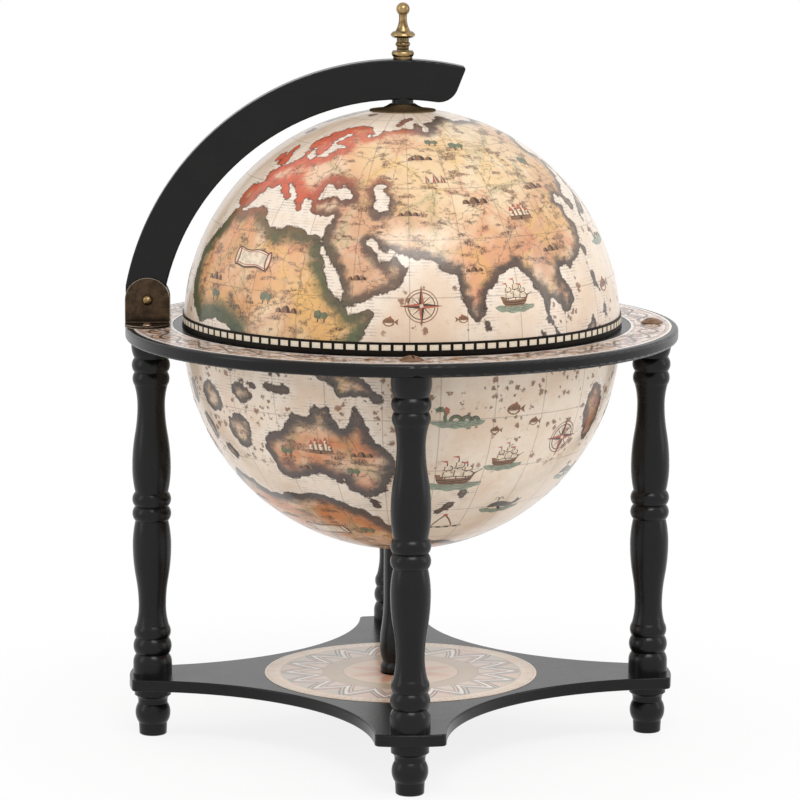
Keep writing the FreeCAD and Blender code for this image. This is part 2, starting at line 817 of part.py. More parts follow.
def make_leg_screws():
    """Domed screws over three legs, and the sunk one over the left leg, under the hinge."""
    free_screws = []
    for side, turn in SLOT_TURNS.items():
        screw = dome_head_screw(f"leg_screw_{side}", dim.leg_screw_radius, dim.leg_screw_length,
                                dim.leg_screw_head_radius, dim.leg_screw_head_height, dim.leg_screw_rim)
        cut_slot(screw, dim.leg_screw_head_radius, dim.leg_screw_head_height,
                 dim.leg_screw_slot_width, dim.leg_screw_slot_depth)
        screw.Placement.Rotation = FreeCAD.Rotation(FreeCAD.Vector(0, 0, 1), turn)
        free_screws.append(place(screw, *LEGS[side], print_top))
    group("leg_screws", free_screws)

    shank = dim.leg_screw_radius
    head = dim.sunk_head_radius
    height = dim.sunk_head_height
    length = dim.leg_screw_length - dim.print_thickness - height
    outline = Outline(0, -length).line(shank, -length).line(shank, 0)
    outline.line(head, 0).line(head, height).line(0, height)
    sunk_screw = turned("sunk_leg_screw", outline)
    cut_slot(sunk_screw, head, height, dim.leg_screw_slot_width, dim.leg_screw_slot_depth)
    finished(place(sunk_screw, *LEGS["left"], ring_top - height))


def is_circle(edge, radius):
    return isinstance(edge.Curve, Part.Circle) and near(edge.Curve.Radius, radius)


def make_bowl():
    """Lower half of the globe, its hoop and rim screws, and the boards for glasses and bottles."""
    bottom = leg_of(dim.globe_radius, post_bore)
    inner_bottom = leg_of(bowl_inner, post_bore)
    neck = bowl_rim - bowl_centre
    screw_z = ring_bottom + dim.ring_thickness / 2
    outline = Outline(post_bore, -bottom)
    outline.arc(dim.globe_radius, 0, dim.globe_radius, 1)
    outline.line(dim.globe_radius, neck)
    outline.line(bowl_inner, neck)
    outline.line(bowl_inner, 0)
    outline.arc(post_bore, -inner_bottom, bowl_inner, -1)
    bowl = turned("lower_bowl", outline)
    drill_rim(bowl, ring_bore, screw_z - bowl_centre)
    finished(place(bowl, z=bowl_centre))

    hoop_outer = leg_of(bowl_inner, dim.bowl_centre_rise) - dim.seat_fit
    hoop_inner = hoop_outer - dim.hoop_thickness
    hoop = annulus("bowl_hoop", hoop_inner, hoop_outer, bowl_rim - ring_bottom)
    drill_rim(hoop, ring_bore, screw_z - ring_bottom)
    finished(place(hoop, z=ring_bottom))

    screws = []
    count = int(dim.rim_screw_count.value)
    head_seat = leg_of(hoop_inner, dim.rim_screw_head_radius)
    length = ring_bore - head_seat + dim.rim_screw_bite
    for index in range(count):
        angle = 360 / count * index
        screw = dome_head_screw(f"rim_screw_{index + 1}", dim.rim_screw_radius, length,
                                dim.rim_screw_head_radius, dim.rim_screw_head_height)
        around = FreeCAD.Rotation(FreeCAD.Vector(0, 0, 1), angle)
        outward = FreeCAD.Rotation(FreeCAD.Vector(0, 1, 0), -90)
        screw.Placement.Rotation = around * outward
        x = head_seat * math.cos(math.radians(angle))
        y = head_seat * math.sin(math.radians(angle))
        screws.append(place(screw, x, y, screw_z))
    group("rim_screws", screws)

    tray_bottom = ring_top - dim.tray_depth - dim.tray_thickness
    floor_bottom = bowl_centre - bowl_inner + dim.floor_rise
    for label, board_bottom, thickness in (("glass_tray", tray_bottom, dim.tray_thickness),
                                           ("bottle_floor", floor_bottom, dim.floor_thickness)):
        radius = leg_of(bowl_inner, bowl_centre - board_bottom) - dim.seat_fit
        disc = Outline(0, 0).line(radius, 0).line(radius, thickness).line(0, thickness)
        board = turned(label, disc)
        if label == "glass_tray":
            drill(board, "bottle_hole", "XY_Plane", [(0, 0)], dim.bottle_hole_radius)
            glass = drill(board, "glass_hole", "XY_Plane", [(dim.glass_circle_radius, 0)],
                          dim.glass_hole_radius)
            repeat_around(board, "glass_holes", glass, dim.glass_count)
        finished(place(board, z=board_bottom))


def make_hinge_plate(label, side):
    """Angle plate of the hinge: a round-topped cheek beside the arm and a round-ended foot on the ring."""
    body = new_body(label)
    front = side == "front"
    outward = -1 if front else 1
    half = dim.hinge_half_width
    left = -pin_reach - half
    right = -pin_reach + half
    cheek = Outline(left, print_top).line(right, print_top).line(right, pin_z)
    cheek.arc(-pin_reach, pin_z + half, half, 1)
    cheek.arc(left, pin_z, half, 1)
    pad(body, "cheek", "XZ_Plane", cheek, dim.hinge_plate, cheek_inner if front else -cheek_outer)
    inner = cheek_inner * outward
    outer = (cheek_outer + dim.hinge_foot) * outward
    round_start = outer - half * outward
    foot = Outline(left, inner).line(right, inner).line(right, round_start)
    foot.arc(-pin_reach, outer, half, outward)
    foot.arc(left, round_start, half, outward)
    pad(body, "foot", "XY_Plane", foot, dim.hinge_plate, print_top)

    def in_bend(edge):
        box = edge.BoundBox
        across = box.YLength < SAME_PLACE and box.ZLength < SAME_PLACE
        return across and near(box.YMin, cheek_outer * outward) and near(box.ZMin, print_top + dim.hinge_plate)

    round_edges(body, "bend", dim.hinge_bend_round, in_bend)
    drill(body, "pin_hole", "XZ_Plane", [(-pin_reach, pin_z)], dim.pin_radius + dim.running_fit)
    drill(body, "screw_hole", "XY_Plane", [HINGE_SCREWS[side]], hinge_screw_bore)
    return finished(body)


def make_hinge():
    """Hinge plates, their screws, and the pin with its cap."""
    screws = []
    screw_length = dim.hinge_plate + dim.print_thickness + dim.hinge_screw_bite
    for side, spot in HINGE_SCREWS.items():
        make_hinge_plate(f"hinge_plate_{side}", side)
        screw = dome_head_screw(f"hinge_screw_{side}", dim.hinge_screw_radius, screw_length,
                                dim.hinge_screw_head_radius, dim.hinge_screw_head_height)
        cut_slot(screw, dim.hinge_screw_head_radius, dim.hinge_screw_head_height,
                 dim.hinge_screw_slot_width, dim.hinge_screw_slot_depth)
        screws.append(place(screw, *spot, print_top + dim.hinge_plate))
    group("hinge_screws", screws)

    towards_front = FreeCAD.Rotation(FreeCAD.Vector(1, 0, 0), 90)
    pin = dome_head_screw("hinge_pin", dim.pin_radius, 2 * cheek_outer + dim.pin_tail,
                          dim.pin_head_radius, dim.pin_head_height)
    pin.Placement.Rotation = towards_front
    finished(place(pin, -pin_reach, -cheek_outer, pin_z))

    bore = dim.pin_radius + dim.running_fit
    bore_end = dim.pin_cap_height - dim.pin_tail
    crown = square_to(bore_end, dim.pin_cap_radius)
    outline = Outline(0, bore_end / 2).line(bore, bore_end / 2).line(bore, dim.pin_cap_height)
    outline.line(dim.pin_cap_radius, dim.pin_cap_height)
    outline.line(dim.pin_cap_radius, bore_end)
    outline.arc(0, 0, crown, -1)
    cap = turned("hinge_pin_cap", outline)
    cap.Placement.Rotation = towards_front
    finished(place(cap, -pin_reach, cheek_outer + dim.pin_cap_height, pin_z))


def draw_arm(sketch):
    """Arm's outline: two arcs about one centre, a sloping tip, and a round heel about the pin."""
    middle = FreeCAD.Vector(-dim.arm_centre_back.value, arm_centre.value, 0)
    pin = FreeCAD.Vector(-pin_reach.value, pin_z.value, 0)
    heel = dim.arm_heel_radius.value
    heel_left = pin.x - heel

    def on_arc(radius, x):
        return FreeCAD.Vector(x, middle.y + math.sqrt(radius ** 2 - (x - middle.x) ** 2), 0)

    tip_top = on_arc(arm_outer.value, dim.arm_tip_top_reach.value)
    tip_low = on_arc(arm_inner.value, dim.arm_tip_low_reach.value)
    heel_top = on_arc(arm_outer.value, heel_left)
    heel_side = FreeCAD.Vector(heel_left, pin.y, 0)
    heel_end = circles_meet(middle, arm_inner.value, pin, heel)

    def arc(centre, radius, start, end):
        circle = Part.Circle(centre, FreeCAD.Vector(0, 0, 1), radius)
        angles = [math.atan2(point.y - centre.y, point.x - centre.x) for point in (start, end)]
        return Part.ArcOfCircle(circle, *angles)

    outer, flank, round_heel, inner, tip = range(5)
    sketch.addGeometry([
        arc(middle, arm_outer.value, tip_top, heel_top),
        Part.LineSegment(heel_top, heel_side),
        arc(pin, heel, heel_side, heel_end),
        arc(middle, arm_inner.value, tip_low, heel_end),
        Part.LineSegment(tip_low, tip_top),
    ], False)
    start, end, centre = 1, 2, 3
    ties = Ties(sketch)
    ties.add(None, "Coincident", outer, start, tip, end)
    ties.add(None, "Coincident", outer, end, flank, start)
    ties.add(None, "Coincident", flank, end, round_heel, start)
    ties.add(None, "Coincident", round_heel, end, inner, end)
    ties.add(None, "Coincident", inner, start, tip, start)
    ties.add(None, "Coincident", inner, centre, outer, centre)
    ties.add(None, "Vertical", flank)
    ties.add(None, "Horizontal", round_heel, start, round_heel, centre)
    ties.locate(outer, centre, -dim.arm_centre_back, arm_centre)
    ties.locate(round_heel, centre, -pin_reach, pin_z)
    ties.add(arm_outer, "Radius", outer)
    ties.add(arm_inner, "Radius", inner)
    ties.add(dim.arm_heel_radius, "Radius", round_heel)
    ties.add(dim.arm_tip_top_reach, "DistanceX", -1, 1, tip, end)
    ties.add(dim.arm_tip_low_reach, "DistanceX", -1, 1, tip, start)
    ties.apply()


def circles_meet(first, first_radius, second, second_radius):
    """The upper of the two points where circles about `first` and `second` cross."""
    between = second - first
    along = (between.Length ** 2 + first_radius ** 2 - second_radius ** 2) / (2 * between.Length)
    aside = math.sqrt(first_radius ** 2 - along ** 2)
    way = between / between.Length
    points = [first + way * along + FreeCAD.Vector(-way.y, way.x, 0) * side for side in (aside, -aside)]
    return max(points, key=lambda point: point.y)


def make_arm():
    """Curved wooden arm from the hinge to past the pole, bored for the pin and the spindle."""
    body = new_body("meridian_arm")
    sketch = new_sketch(body, "XZ_Plane", "outline")
    draw_arm(sketch)
    blank = add_feature(body, "Pad", "blank", sketch)
    blank.setExpression("Length", dim.arm_thickness.text)
    blank.SideType = "Symmetric"

    def across(edge, x):
        box = edge.BoundBox
        return box.YLength > SAME_PLACE and near(box.XMin, x) and near(box.XMax, x)

    round_edges(body, "tip_top", dim.arm_tip_top_round, lambda edge: across(edge, dim.arm_tip_top_reach))
    round_edges(body, "tip_low", dim.arm_tip_low_round, lambda edge: across(edge, dim.arm_tip_low_reach))
    hinge_side = (-pin_reach + dim.hinge_half_width).value

    def along_face(edge):
        box = edge.BoundBox
        flat = box.YLength < SAME_PLACE and near(abs(box.YMin), arm_half)
        return flat and box.XMax > hinge_side

    round_edges(body, "sides", dim.arm_edge_round, along_face)
    drill(body, "pin_hole", "XZ_Plane", [(-pin_reach, pin_z)], dim.pin_radius + dim.running_fit)

    doc.recompute()
    volume = body.Shape.Volume
    bore = dim.spindle_radius + dim.screw_fit
    low_seat = dim.neck_radius + dim.seat_fit
    high_seat = dim.finial_collar_radius + dim.seat_fit
    low_floor = arm_under + dim.arm_seat_depth
    outline = Outline(0, arm_under - OVERCUT).line(low_seat, arm_under - OVERCUT)
    outline.line(low_seat, low_floor).line(bore, low_floor)
    outline.line(bore, finial_base).line(high_seat, finial_base)
    outline.line(high_seat, arm_top + OVERCUT).line(0, arm_top + OVERCUT)
    seats = new_sketch(body, "XZ_Plane", "pole_seats")
    outline.draw(seats)
    groove = add_feature(body, "Groove", "pole_bore", seats)
    groove.ReferenceAxis = (seats, ["V_Axis"])
    groove.Angle = 360
    doc.recompute()
    if body.Shape.Volume >= volume:
        raise ValueError("meridian_arm: the pole bore cuts nothing")
    finished(body)


def make_pole():
    """Spindle through the arm, with the neck, washer and nut that hang the dome from it."""
    block_bottom = dome_centre + dome_inner - dim.pole_block_depth
    washer_z = block_bottom - dim.spin_play - dim.pole_washer_thickness
    nut_z = washer_z - dim.pole_nut_height
    spindle_bottom = nut_z - dim.spindle_tail
    spindle_top = finial_base + dim.finial_bore_depth - dim.bore_end_room
    length = spindle_top - spindle_bottom
    rod = Outline(0, 0).line(dim.spindle_radius, 0).line(dim.spindle_radius, length).line(0, length)
    finished(place(turned("pole_spindle", rod), z=spindle_bottom))

    bore = dim.spindle_radius + dim.screw_fit
    neck_z = dome_top + dim.flange_height + dim.spin_play
    neck = annulus("neck_spacer", bore, dim.neck_radius, arm_under + dim.arm_seat_depth - neck_z)
    finished(place(neck, z=neck_z))
    washer = annulus("pole_washer", bore, dim.pole_washer_radius, dim.pole_washer_thickness)
    finished(place(washer, z=washer_z))

    nut = new_body("pole_nut")
    corners = []
    for index in range(6):
        angle = math.radians(60 * index + 30)
        corners.append((dim.pole_nut_radius * math.cos(angle), dim.pole_nut_radius * math.sin(angle)))
    hexagon = Outline(*corners[0])
    for corner in corners[1:]:
        hexagon.line(*corner)
    pad(nut, "hexagon", "XY_Plane", hexagon, dim.pole_nut_height)
    drill(nut, "thread", "XY_Plane", [(0, 0)], bore)
    finished(place(nut, z=nut_z))


def make_finial():
    """Brass knob screwed on the top of the spindle."""
    bore = dim.spindle_radius + dim.screw_fit
    neck = dim.finial_neck_radius
    disc_bottom = dim.finial_collar_height
    disc_top = disc_bottom + dim.finial_disc_height
    bead_bottom = disc_top + dim.finial_low_neck
    bead_top = bead_bottom + dim.finial_bead_height
    bell_bottom = bead_top + dim.finial_high_neck
    rim = bell_bottom + dim.finial_rim_rise
    lip_top = rim + dim.finial_lip_height
    ball = dim.finial_ball_radius
    ball_bottom = dim.finial_height - ball - leg_of(ball, dim.finial_top_neck_radius)
    outline = Outline(bore, 0)
    outline.line(dim.finial_collar_radius, 0)
    outline.line(dim.finial_collar_radius, disc_bottom)
    outline.bulge(dim.finial_collar_radius, disc_top, dim.finial_disc_radius - dim.finial_collar_radius)
    outline.line(neck, disc_top)
    outline.line(neck, bead_bottom)
    outline.bulge(neck, bead_top, dim.finial_bead_radius - neck)
    outline.line(neck, bell_bottom)
    outline.arc(dim.finial_rim_radius, rim, square_to(dim.finial_rim_rise, dim.finial_rim_radius - neck), 1)
    outline.bulge(dim.finial_lip_radius, lip_top, dim.finial_lip_round)
    outline.bulge(dim.finial_top_neck_radius, ball_bottom, dim.finial_bell_hollow, -1)
    outline.arc(0, dim.finial_height, ball, 1)
    outline.line(0, dim.finial_bore_depth)
    outline.line(bore, dim.finial_bore_depth)
    finished(place(turned("finial", outline), z=finial_base))


def make_dome():
    """Upper half of the globe with its hoop, equator band, pole flange and pole block."""
    outer = dim.globe_radius
    rim = dim.dome_sink
    shell = Outline(pole_bore, leg_of(dome_inner, pole_bore))
    shell.line(pole_bore, leg_of(outer, pole_bore))
    shell.arc(leg_of(outer, rim), rim, outer, -1)
    shell.line(leg_of(dome_inner, rim), rim)
    shell.close_arc(dome_inner, 1)
    finished(place(turned("upper_dome", shell), z=dome_centre))

    seat = dome_inner - dim.seat_fit
    hoop_inner = seat - dim.hoop_thickness
    hoop_top = rim + dim.dome_hoop_height
    hoop = Outline(hoop_inner, rim).line(leg_of(seat, rim), rim)
    hoop.arc(leg_of(seat, hoop_top), hoop_top, seat, 1)
    hoop.line(hoop_inner, hoop_top)
    finished(place(turned("dome_hoop", hoop), z=dome_centre))

    skin = outer + dim.seat_fit
    band_top = rim + dim.band_height
    band_radius = outer + dim.band_proud
    lip_radius = outer + dim.band_lip_proud
    lip_top = rim + dim.band_lip_height
    band = Outline(leg_of(skin, band_top), band_top)
    band.arc(leg_of(skin, rim), rim, skin, -1)
    band.line(lip_radius, rim).line(lip_radius, lip_top).line(band_radius, lip_top)
    band.line(band_radius, band_top)
    finished(place(turned("equator_band", band), z=dome_centre))

    flange_edge = leg_of(skin, dim.flange_radius)
    flange_top = outer + dim.flange_height
    flange = Outline(pole_bore, leg_of(skin, pole_bore))
    flange.arc(dim.flange_radius, flange_edge, skin, -1)
    flange.line(dim.flange_radius, flange_edge + dim.flange_rim)
    flange.bulge(dim.flange_top_radius, flange_top, dim.flange_hollow, -1)
    flange.line(pole_bore, flange_top)
    finished(place(turned("pole_flange", flange), z=dome_centre))

    block_bottom = dome_inner - dim.pole_block_depth
    block = Outline(pole_bore, block_bottom).line(dim.pole_block_radius, block_bottom)
    block.line(dim.pole_block_radius, leg_of(seat, dim.pole_block_radius))
    block.arc(pole_bore, leg_of(seat, pole_bore), seat, 1)
    finished(place(turned("pole_block", block), z=dome_centre))


def write_parts():
    doc.recompute()
    for item in doc.Objects:
        if "Invalid" in item.State or "Error" in item.State:
            raise ValueError(f"{item.Label} failed: {item.State}")
    for part in parts:
        if part.Shape.isNull() or not part.Shape.isValid():
            raise ValueError(f"{part.Label} has no valid shape")
    os.makedirs("parts", exist_ok=True)
    for part in parts:
        part.Shape.exportStep(f"parts/{part.Label}.step")


make_legs()
make_shelf()
make_post()
make_ring()
make_bowl()
make_hinge()
make_arm()
make_pole()
make_finial()
make_dome()
write_parts()
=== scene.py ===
import json
import math
import re

import bmesh
import bpy
import numpy as np
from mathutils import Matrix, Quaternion, Vector, kdtree


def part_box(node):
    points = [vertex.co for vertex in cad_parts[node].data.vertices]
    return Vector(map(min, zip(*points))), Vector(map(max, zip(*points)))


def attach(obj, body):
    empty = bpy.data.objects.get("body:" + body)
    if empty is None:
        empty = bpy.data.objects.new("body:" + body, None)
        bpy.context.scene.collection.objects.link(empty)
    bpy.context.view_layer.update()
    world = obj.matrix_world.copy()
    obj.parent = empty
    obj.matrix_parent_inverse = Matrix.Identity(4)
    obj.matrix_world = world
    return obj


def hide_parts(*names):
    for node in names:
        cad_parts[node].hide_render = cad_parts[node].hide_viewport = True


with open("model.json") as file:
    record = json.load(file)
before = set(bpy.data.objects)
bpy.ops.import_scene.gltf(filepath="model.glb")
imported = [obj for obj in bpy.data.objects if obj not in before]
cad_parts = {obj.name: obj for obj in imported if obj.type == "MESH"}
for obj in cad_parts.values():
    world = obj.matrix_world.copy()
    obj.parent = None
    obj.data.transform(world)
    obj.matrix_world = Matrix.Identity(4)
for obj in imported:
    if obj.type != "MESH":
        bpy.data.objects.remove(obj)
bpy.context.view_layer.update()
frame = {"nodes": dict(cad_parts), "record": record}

MM = 0.001
DEGREES = math.degrees(1)

# The globe's halves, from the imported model, in metres; heights are above the floor.
bowl_low, bowl_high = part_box("lower_bowl")
dome_low, dome_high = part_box("upper_dome")
band_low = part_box("equator_band")[0]
GLOBE_RADIUS = bowl_high.x
SHELL_WALL = 3 * MM
DOME_POLE_HOLE = 3.05 * MM
DOME_RIM = dome_low.z
DOME_CENTRE = dome_high.z - math.sqrt(GLOBE_RADIUS ** 2 - DOME_POLE_HOLE ** 2)
BOWL_POLE_HOLE = 2.6 * MM
BOWL_RIM = bowl_high.z
BOWL_CENTRE = bowl_low.z + math.sqrt(GLOBE_RADIUS ** 2 - BOWL_POLE_HOLE ** 2)

# Grid of the shells: points round, steps along a meridian and least angle of a sharp edge in degrees.
MERIDIANS = 480
OUTER_STEP = 0.75
INNER_STEP = 6.0
SHARP_ANGLE = 40

# Texture layout of a shell in the unit square: middle and radius of the discs of its outside and inside,
# the reach of the pole hole's wall, and the length left free at the pole.
OUTSIDE_DISC = (0.41, 0.4)
INSIDE_DISC = (0.825, 0.165)
POLE_WALL_REACH = 0.001
POLE_GAP = 4 * MM

# The map: longitude at the front (-Y) and share of islets on each half, the share cut off its coasts'
# corners, and sizes in degrees.
DOME_FRONT = 60.1
DOME_ISLES = 0.43
BOWL_FRONT = 157.1
BOWL_ISLES = 0.54
COAST_CORNER_CUT = 0.22
COAST_POINT_GAP = 0.15
COAST_WIGGLE = 5.0
WASH_SPREAD = 3.5
SEA_HATCH = 0.8
ISLE_CELL = 2.0
COUNTRY_CELL = 12.0
BORDER_CELL = 13.0
RIVER_CELL = 8.5
GRATICULE = 15.0

# The small figures: height over the globe, height of a layer, depth of the foot, longest edge in degrees,
# and how often longer edges are split.
FIGURE_LIFT = 0.05 * MM
FIGURE_LAYER = 0.015 * MM
FIGURE_SINK = 0.4 * MM
FIGURE_SPAN = 0.9
FIGURE_SPLITS = 5
INKS = {
    "dark": (72, 50, 40), "sepia": (142, 102, 72), "pale": (236, 216, 190), "red": (188, 102, 76),
    "green": (110, 116, 88), "slate": (118, 112, 106), "water": (154, 160, 140),
}

# The equator band's blocks: count, share of their step, and foot over the band's and height in millimetres.
BAND_BLOCKS = 120
BAND_BLOCK_SHARE = 0.73
BAND_BLOCK_FOOT = 3.6
BAND_BLOCK_HEIGHT = 4.0

# The ring's print, in millimetres inwards from its outer edge; lines have a middle, half width and colour.
RING_STEM_MIDDLE = 15.9
RING_STEM_SWING = 7.0
RING_STEM_WAVES = 20
RING_LEAF_CELL = 7.0
RING_LINES = [(0.85, 0.85, (252, 246, 240)), (4.45, 0.25, (112, 82, 66)),
              (27.75, 0.25, (112, 82, 66)), (30.0, 0.7, (252, 246, 240))]
RING_SCALE = (2.9, 1.0)
RING_SCALE_BLOCKS = 180

# The shelf's print, in millimetres from its middle: rings and lines by middle, half width and colour.
WHEEL = (76.0, 15.6)
WHEEL_RAYS = 18
RAY_FOOT = 64.0
RAY_RISE = 46.0
RAY_LINES = [(0.0, 1.6, (252, 249, 246)), (4.2, 1.0, (104, 92, 86)), (-4.6, 1.0, (116, 98, 88)),
             (9.5, 1.1, (88, 80, 80)), (-9.8, 1.1, (152, 104, 80))]
TAUPE_RING = (52.0, 7.6)
PEACH_RADIUS = 44.0
PETALS = 8
SHELF_LINES = [(44.2, 0.3), (59.8, 0.35), (92.2, 0.35), (102.6, 0.25)]
SHELF_LINE_COLOUR = (140, 118, 102)
SHELF_SCALE = (99.6, 2.6)
SHELF_SCALE_BLOCKS = 120

# Varnish over the globe's print and its inks.
VARNISH = {"roughness": 0.34, "specular_ior_level": 0.3, "coat_weight": 0.5, "coat_roughness": 0.16}

# Metals: bright and dull colours, the colour of stains and of the painted shade in grooves, the colour of
# edge wear and painted edge highlights, roughness, reach of the groove shade, colour at low angles.
METALS = {
    "antique_bronze": ((86, 70, 54), (62, 50, 40), (38, 31, 26), (214, 198, 178), 0.3),
    "antique_brass": ((170, 145, 102), (116, 94, 64), (50, 34, 22), (224, 204, 160), 0.16, 14 * MM),
    "copper_bronze": ((150, 116, 92), (120, 92, 70), (52, 38, 30), (214, 188, 160), 0.2),
    "bright_bronze": ((122, 102, 74), (92, 76, 54), (60, 48, 34), (150, 132, 104), 0.42, 6 * MM,
                      (120, 104, 82)),
}

# Pieces of black wood whose grain lies flat, along X; the others' grain stands upright.
BOARDS = ("shelf", "ring", "bowl_hoop", "dome_hoop", "meridian_arm")

# The floor, in metres: its reach, its share of plain white near the object, which keeps the shadow faint,
# and the distances between which that grows to all white.
FLOOR_REACH = 30.0
FLOOR_GLOW = 0.84
FLOOR_FADE = (0.2, 0.5)

# The sky's light, from the front to the back, and the lamps: place, width and height in metres, watts.
SKY_LIGHT = {"From Min": -0.8, "From Max": 0.5, "To Min": 0.42, "To Max": 0.9}
LAMP_AIM = (0, 0, 0.28)
LAMPS = {
    "key": ((0.25, -1.45, 1.95), (1.1, 0.7), 18),
    "side_left": ((-2.2, -0.6, 1.0), (0.7, 1.6), 6),
    "side_right": ((2.3, -0.3, 0.9), (0.6, 1.6), 6),
}

# The camera, fitted to the photograph: metres and degrees, with its lens and sensor in millimetres.
CAMERA_DISTANCE = 3.24122
CAMERA_ELEVATION = 9.106
CAMERA_AZIMUTH = -2.1
CAMERA_ROLL = 0.2
CAMERA_TARGET = (0, 0, 0.25964)
CAMERA_OPTICS = {"lens": 191.17, "sensor_width": 36, "shift_x": -0.002, "clip_end": 100}

scene = bpy.context.scene
scene.view_settings.view_transform = "Standard"


def srgb(red, green, blue):
    """An 8-bit screen colour as the linear colour that a shader takes."""
    def channel(value):
        value /= 255
        return value / 12.92 if value <= 0.04045 else ((value + 0.055) / 1.055) ** 2.4
    return (channel(red), channel(green), channel(blue), 1.0)


def placed(name, data):
    """A new object of the scene."""
    thing = bpy.data.objects.new(name, data)
    scene.collection.objects.link(thing)
    return thing


def operator(operation):
    """A method of a wire that adds a Math node."""
    return lambda wire, *others: wire.graph.math(operation, wire, *others)


class Wire:
    """An output socket of a node; arithmetic on it adds Math nodes."""

    __add__ = operator("ADD")
    __sub__ = operator("SUBTRACT")
    __mul__ = operator("MULTIPLY")
    __truediv__ = operator("DIVIDE")
    __abs__ = operator("ABSOLUTE")
    least = operator("MINIMUM")
    most = operator("MAXIMUM")

    def __init__(self, graph, socket):
        self.graph = graph
        self.socket = socket

    def __rsub__(self, other):
        return self.graph.math("SUBTRACT", other, self)

    def step(self, low, high):
        """0 below low, 1 above high and smooth between; high may also be the lower one."""
        inputs = {"Value": self, "From Min": low, "From Max": high}
        return self.graph.out("MapRange", 0, inputs, interpolation_type="SMOOTHSTEP")

    def near(self, place, width, soft):
        """1 within width of place, fading to 0 over soft."""
        return abs(self - place).step(width + soft, width)

    def wave(self, period):
        """Distance to the nearest multiple of period."""
        return abs(self.graph.math("PINGPONG", self, period / 2))


class Graph:
    """The nodes of a material, or of the world, round its shader."""

    def __init__(self, name, store="materials", shader="Principled BSDF", **finish):
        self.owner = getattr(bpy.data, store).new(name)
        self.owner.use_nodes = True
        self.tree = self.owner.node_tree
        self.shader = self.tree.nodes[shader]
        self.set(**finish)

    def set(self, **finish):
        for key, value in finish.items():
            self.feed(self.shader.inputs[key.replace("_", " ").title().replace("Ior", "IOR")], value)

    def feed(self, socket, value):
        if isinstance(value, Wire):
            self.tree.links.new(value.socket, socket)
        else:
            socket.default_value = value

    def add(self, kind, inputs=None, **settings):
        node = self.tree.nodes.new("ShaderNode" + kind)
        for key, value in settings.items():
            setattr(node, key, value)
        for key, value in (inputs or {}).items():
            self.feed(node.inputs[key], value)
        return node

    def out(self, kind, output, inputs=None, **settings):
        return Wire(self, self.add(kind, inputs, **settings).outputs[output])

    def math(self, operation, *values):
        return self.out("Math", 0, dict(enumerate(values)), operation=operation)

    def vector(self, operation, *values):
        return self.out("VectorMath", "Vector", dict(enumerate(values)), operation=operation)

    def scaled(self, vector, factor):
        return self.out("VectorMath", "Vector", {"Vector": vector, "Scale": factor}, operation="SCALE")

    def parts(self, vector):
        node = self.add("SeparateXYZ", {"Vector": vector})
        return [Wire(self, socket) for socket in node.outputs]

    def place(self):
        return self.out("TexCoord", "Object")

    def polar(self):
        """Radius in millimetres, angle from the front in turns and height in millimetres."""
        x, y, z = self.parts(self.scaled(self.place(), 1 / MM))
        return self.math("SQRT", x * x + y * y), self.math("ARCTAN2", x, 0 - y) / math.tau, z

    def attribute(self, name, output):
        return self.out("Attribute", output, attribute_name=name)

    def blend(self, factor, low, high, **settings):
        """A mix of two colours, each from a wire or as an 8-bit screen colour."""
        low, high = (tone if isinstance(tone, Wire) else srgb(*tone) for tone in (low, high))
        return self.out("Mix", 2, {0: factor, 6: low, 7: high}, data_type="RGBA", **settings)

    def tint(self, factor, low, high):
        return self.blend(factor, low, high, blend_type="MULTIPLY")

    def layers(self, colour, *coats):
        """A colour under coats, each with its strength and its colour."""
        for strength, tone in coats:
            colour = self.blend(strength, colour, tone)
        return colour

    def noise(self, vector, size, detail=2.0, roughness=0.5):
        inputs = {"Vector": vector, "Scale": 1 / size, "Detail": detail, "Roughness": roughness}
        return self.out("TexNoise", 0, inputs)

    def bent(self, vector, scale, detail, reach):
        """A place moved by noise, so that lines drawn from it wander."""
        shift = self.out("TexNoise", "Color", {"Vector": vector, "Scale": scale, "Detail": detail})
        return self.vector("ADD", vector, self.scaled(shift, reach))

    def cells(self, vector, size, feature="F1"):
        """The outputs of a cell pattern, by name."""
        node = self.add("TexVoronoi", {"Vector": vector, "Scale": 1 / size}, feature=feature)
        return {socket.name: Wire(self, socket) for socket in node.outputs}

    def cell_edge(self, vector, size):
        """Distance to the nearest border between cells."""
        return self.cells(vector, size, "DISTANCE_TO_EDGE")["Distance"] * size

    def edge_strip(self, radius):
        """1 along outer and inner edges, 0 on the flats."""
        rounded = self.out("Bevel", 0, {"Radius": radius}, samples=6)
        normal = self.out("NewGeometry", "Normal")
        along = self.out("VectorMath", "Value", {0: rounded, 1: normal}, operation="DOT_PRODUCT")
        return along.step(0.97, 0.75)

    def seen(self):
        """1 for rays that see the surface or mirror it, 0 for rays that only carry its light."""
        path = self.add("LightPath")
        camera, glossy, through = (Wire(self, path.outputs[f"Is {ray} Ray"])
                                   for ray in ("Camera", "Glossy", "Transmission"))
        return camera.most(glossy).most(through)

    def material(self, colour, height, depth, strength, **finish):
        """The material with its colour and with bumps of a height."""
        bump = self.out("Bump", 0, {"Height": height, "Distance": depth, "Strength": strength})
        self.set(base_color=colour, normal=bump, **finish)
        return self.owner
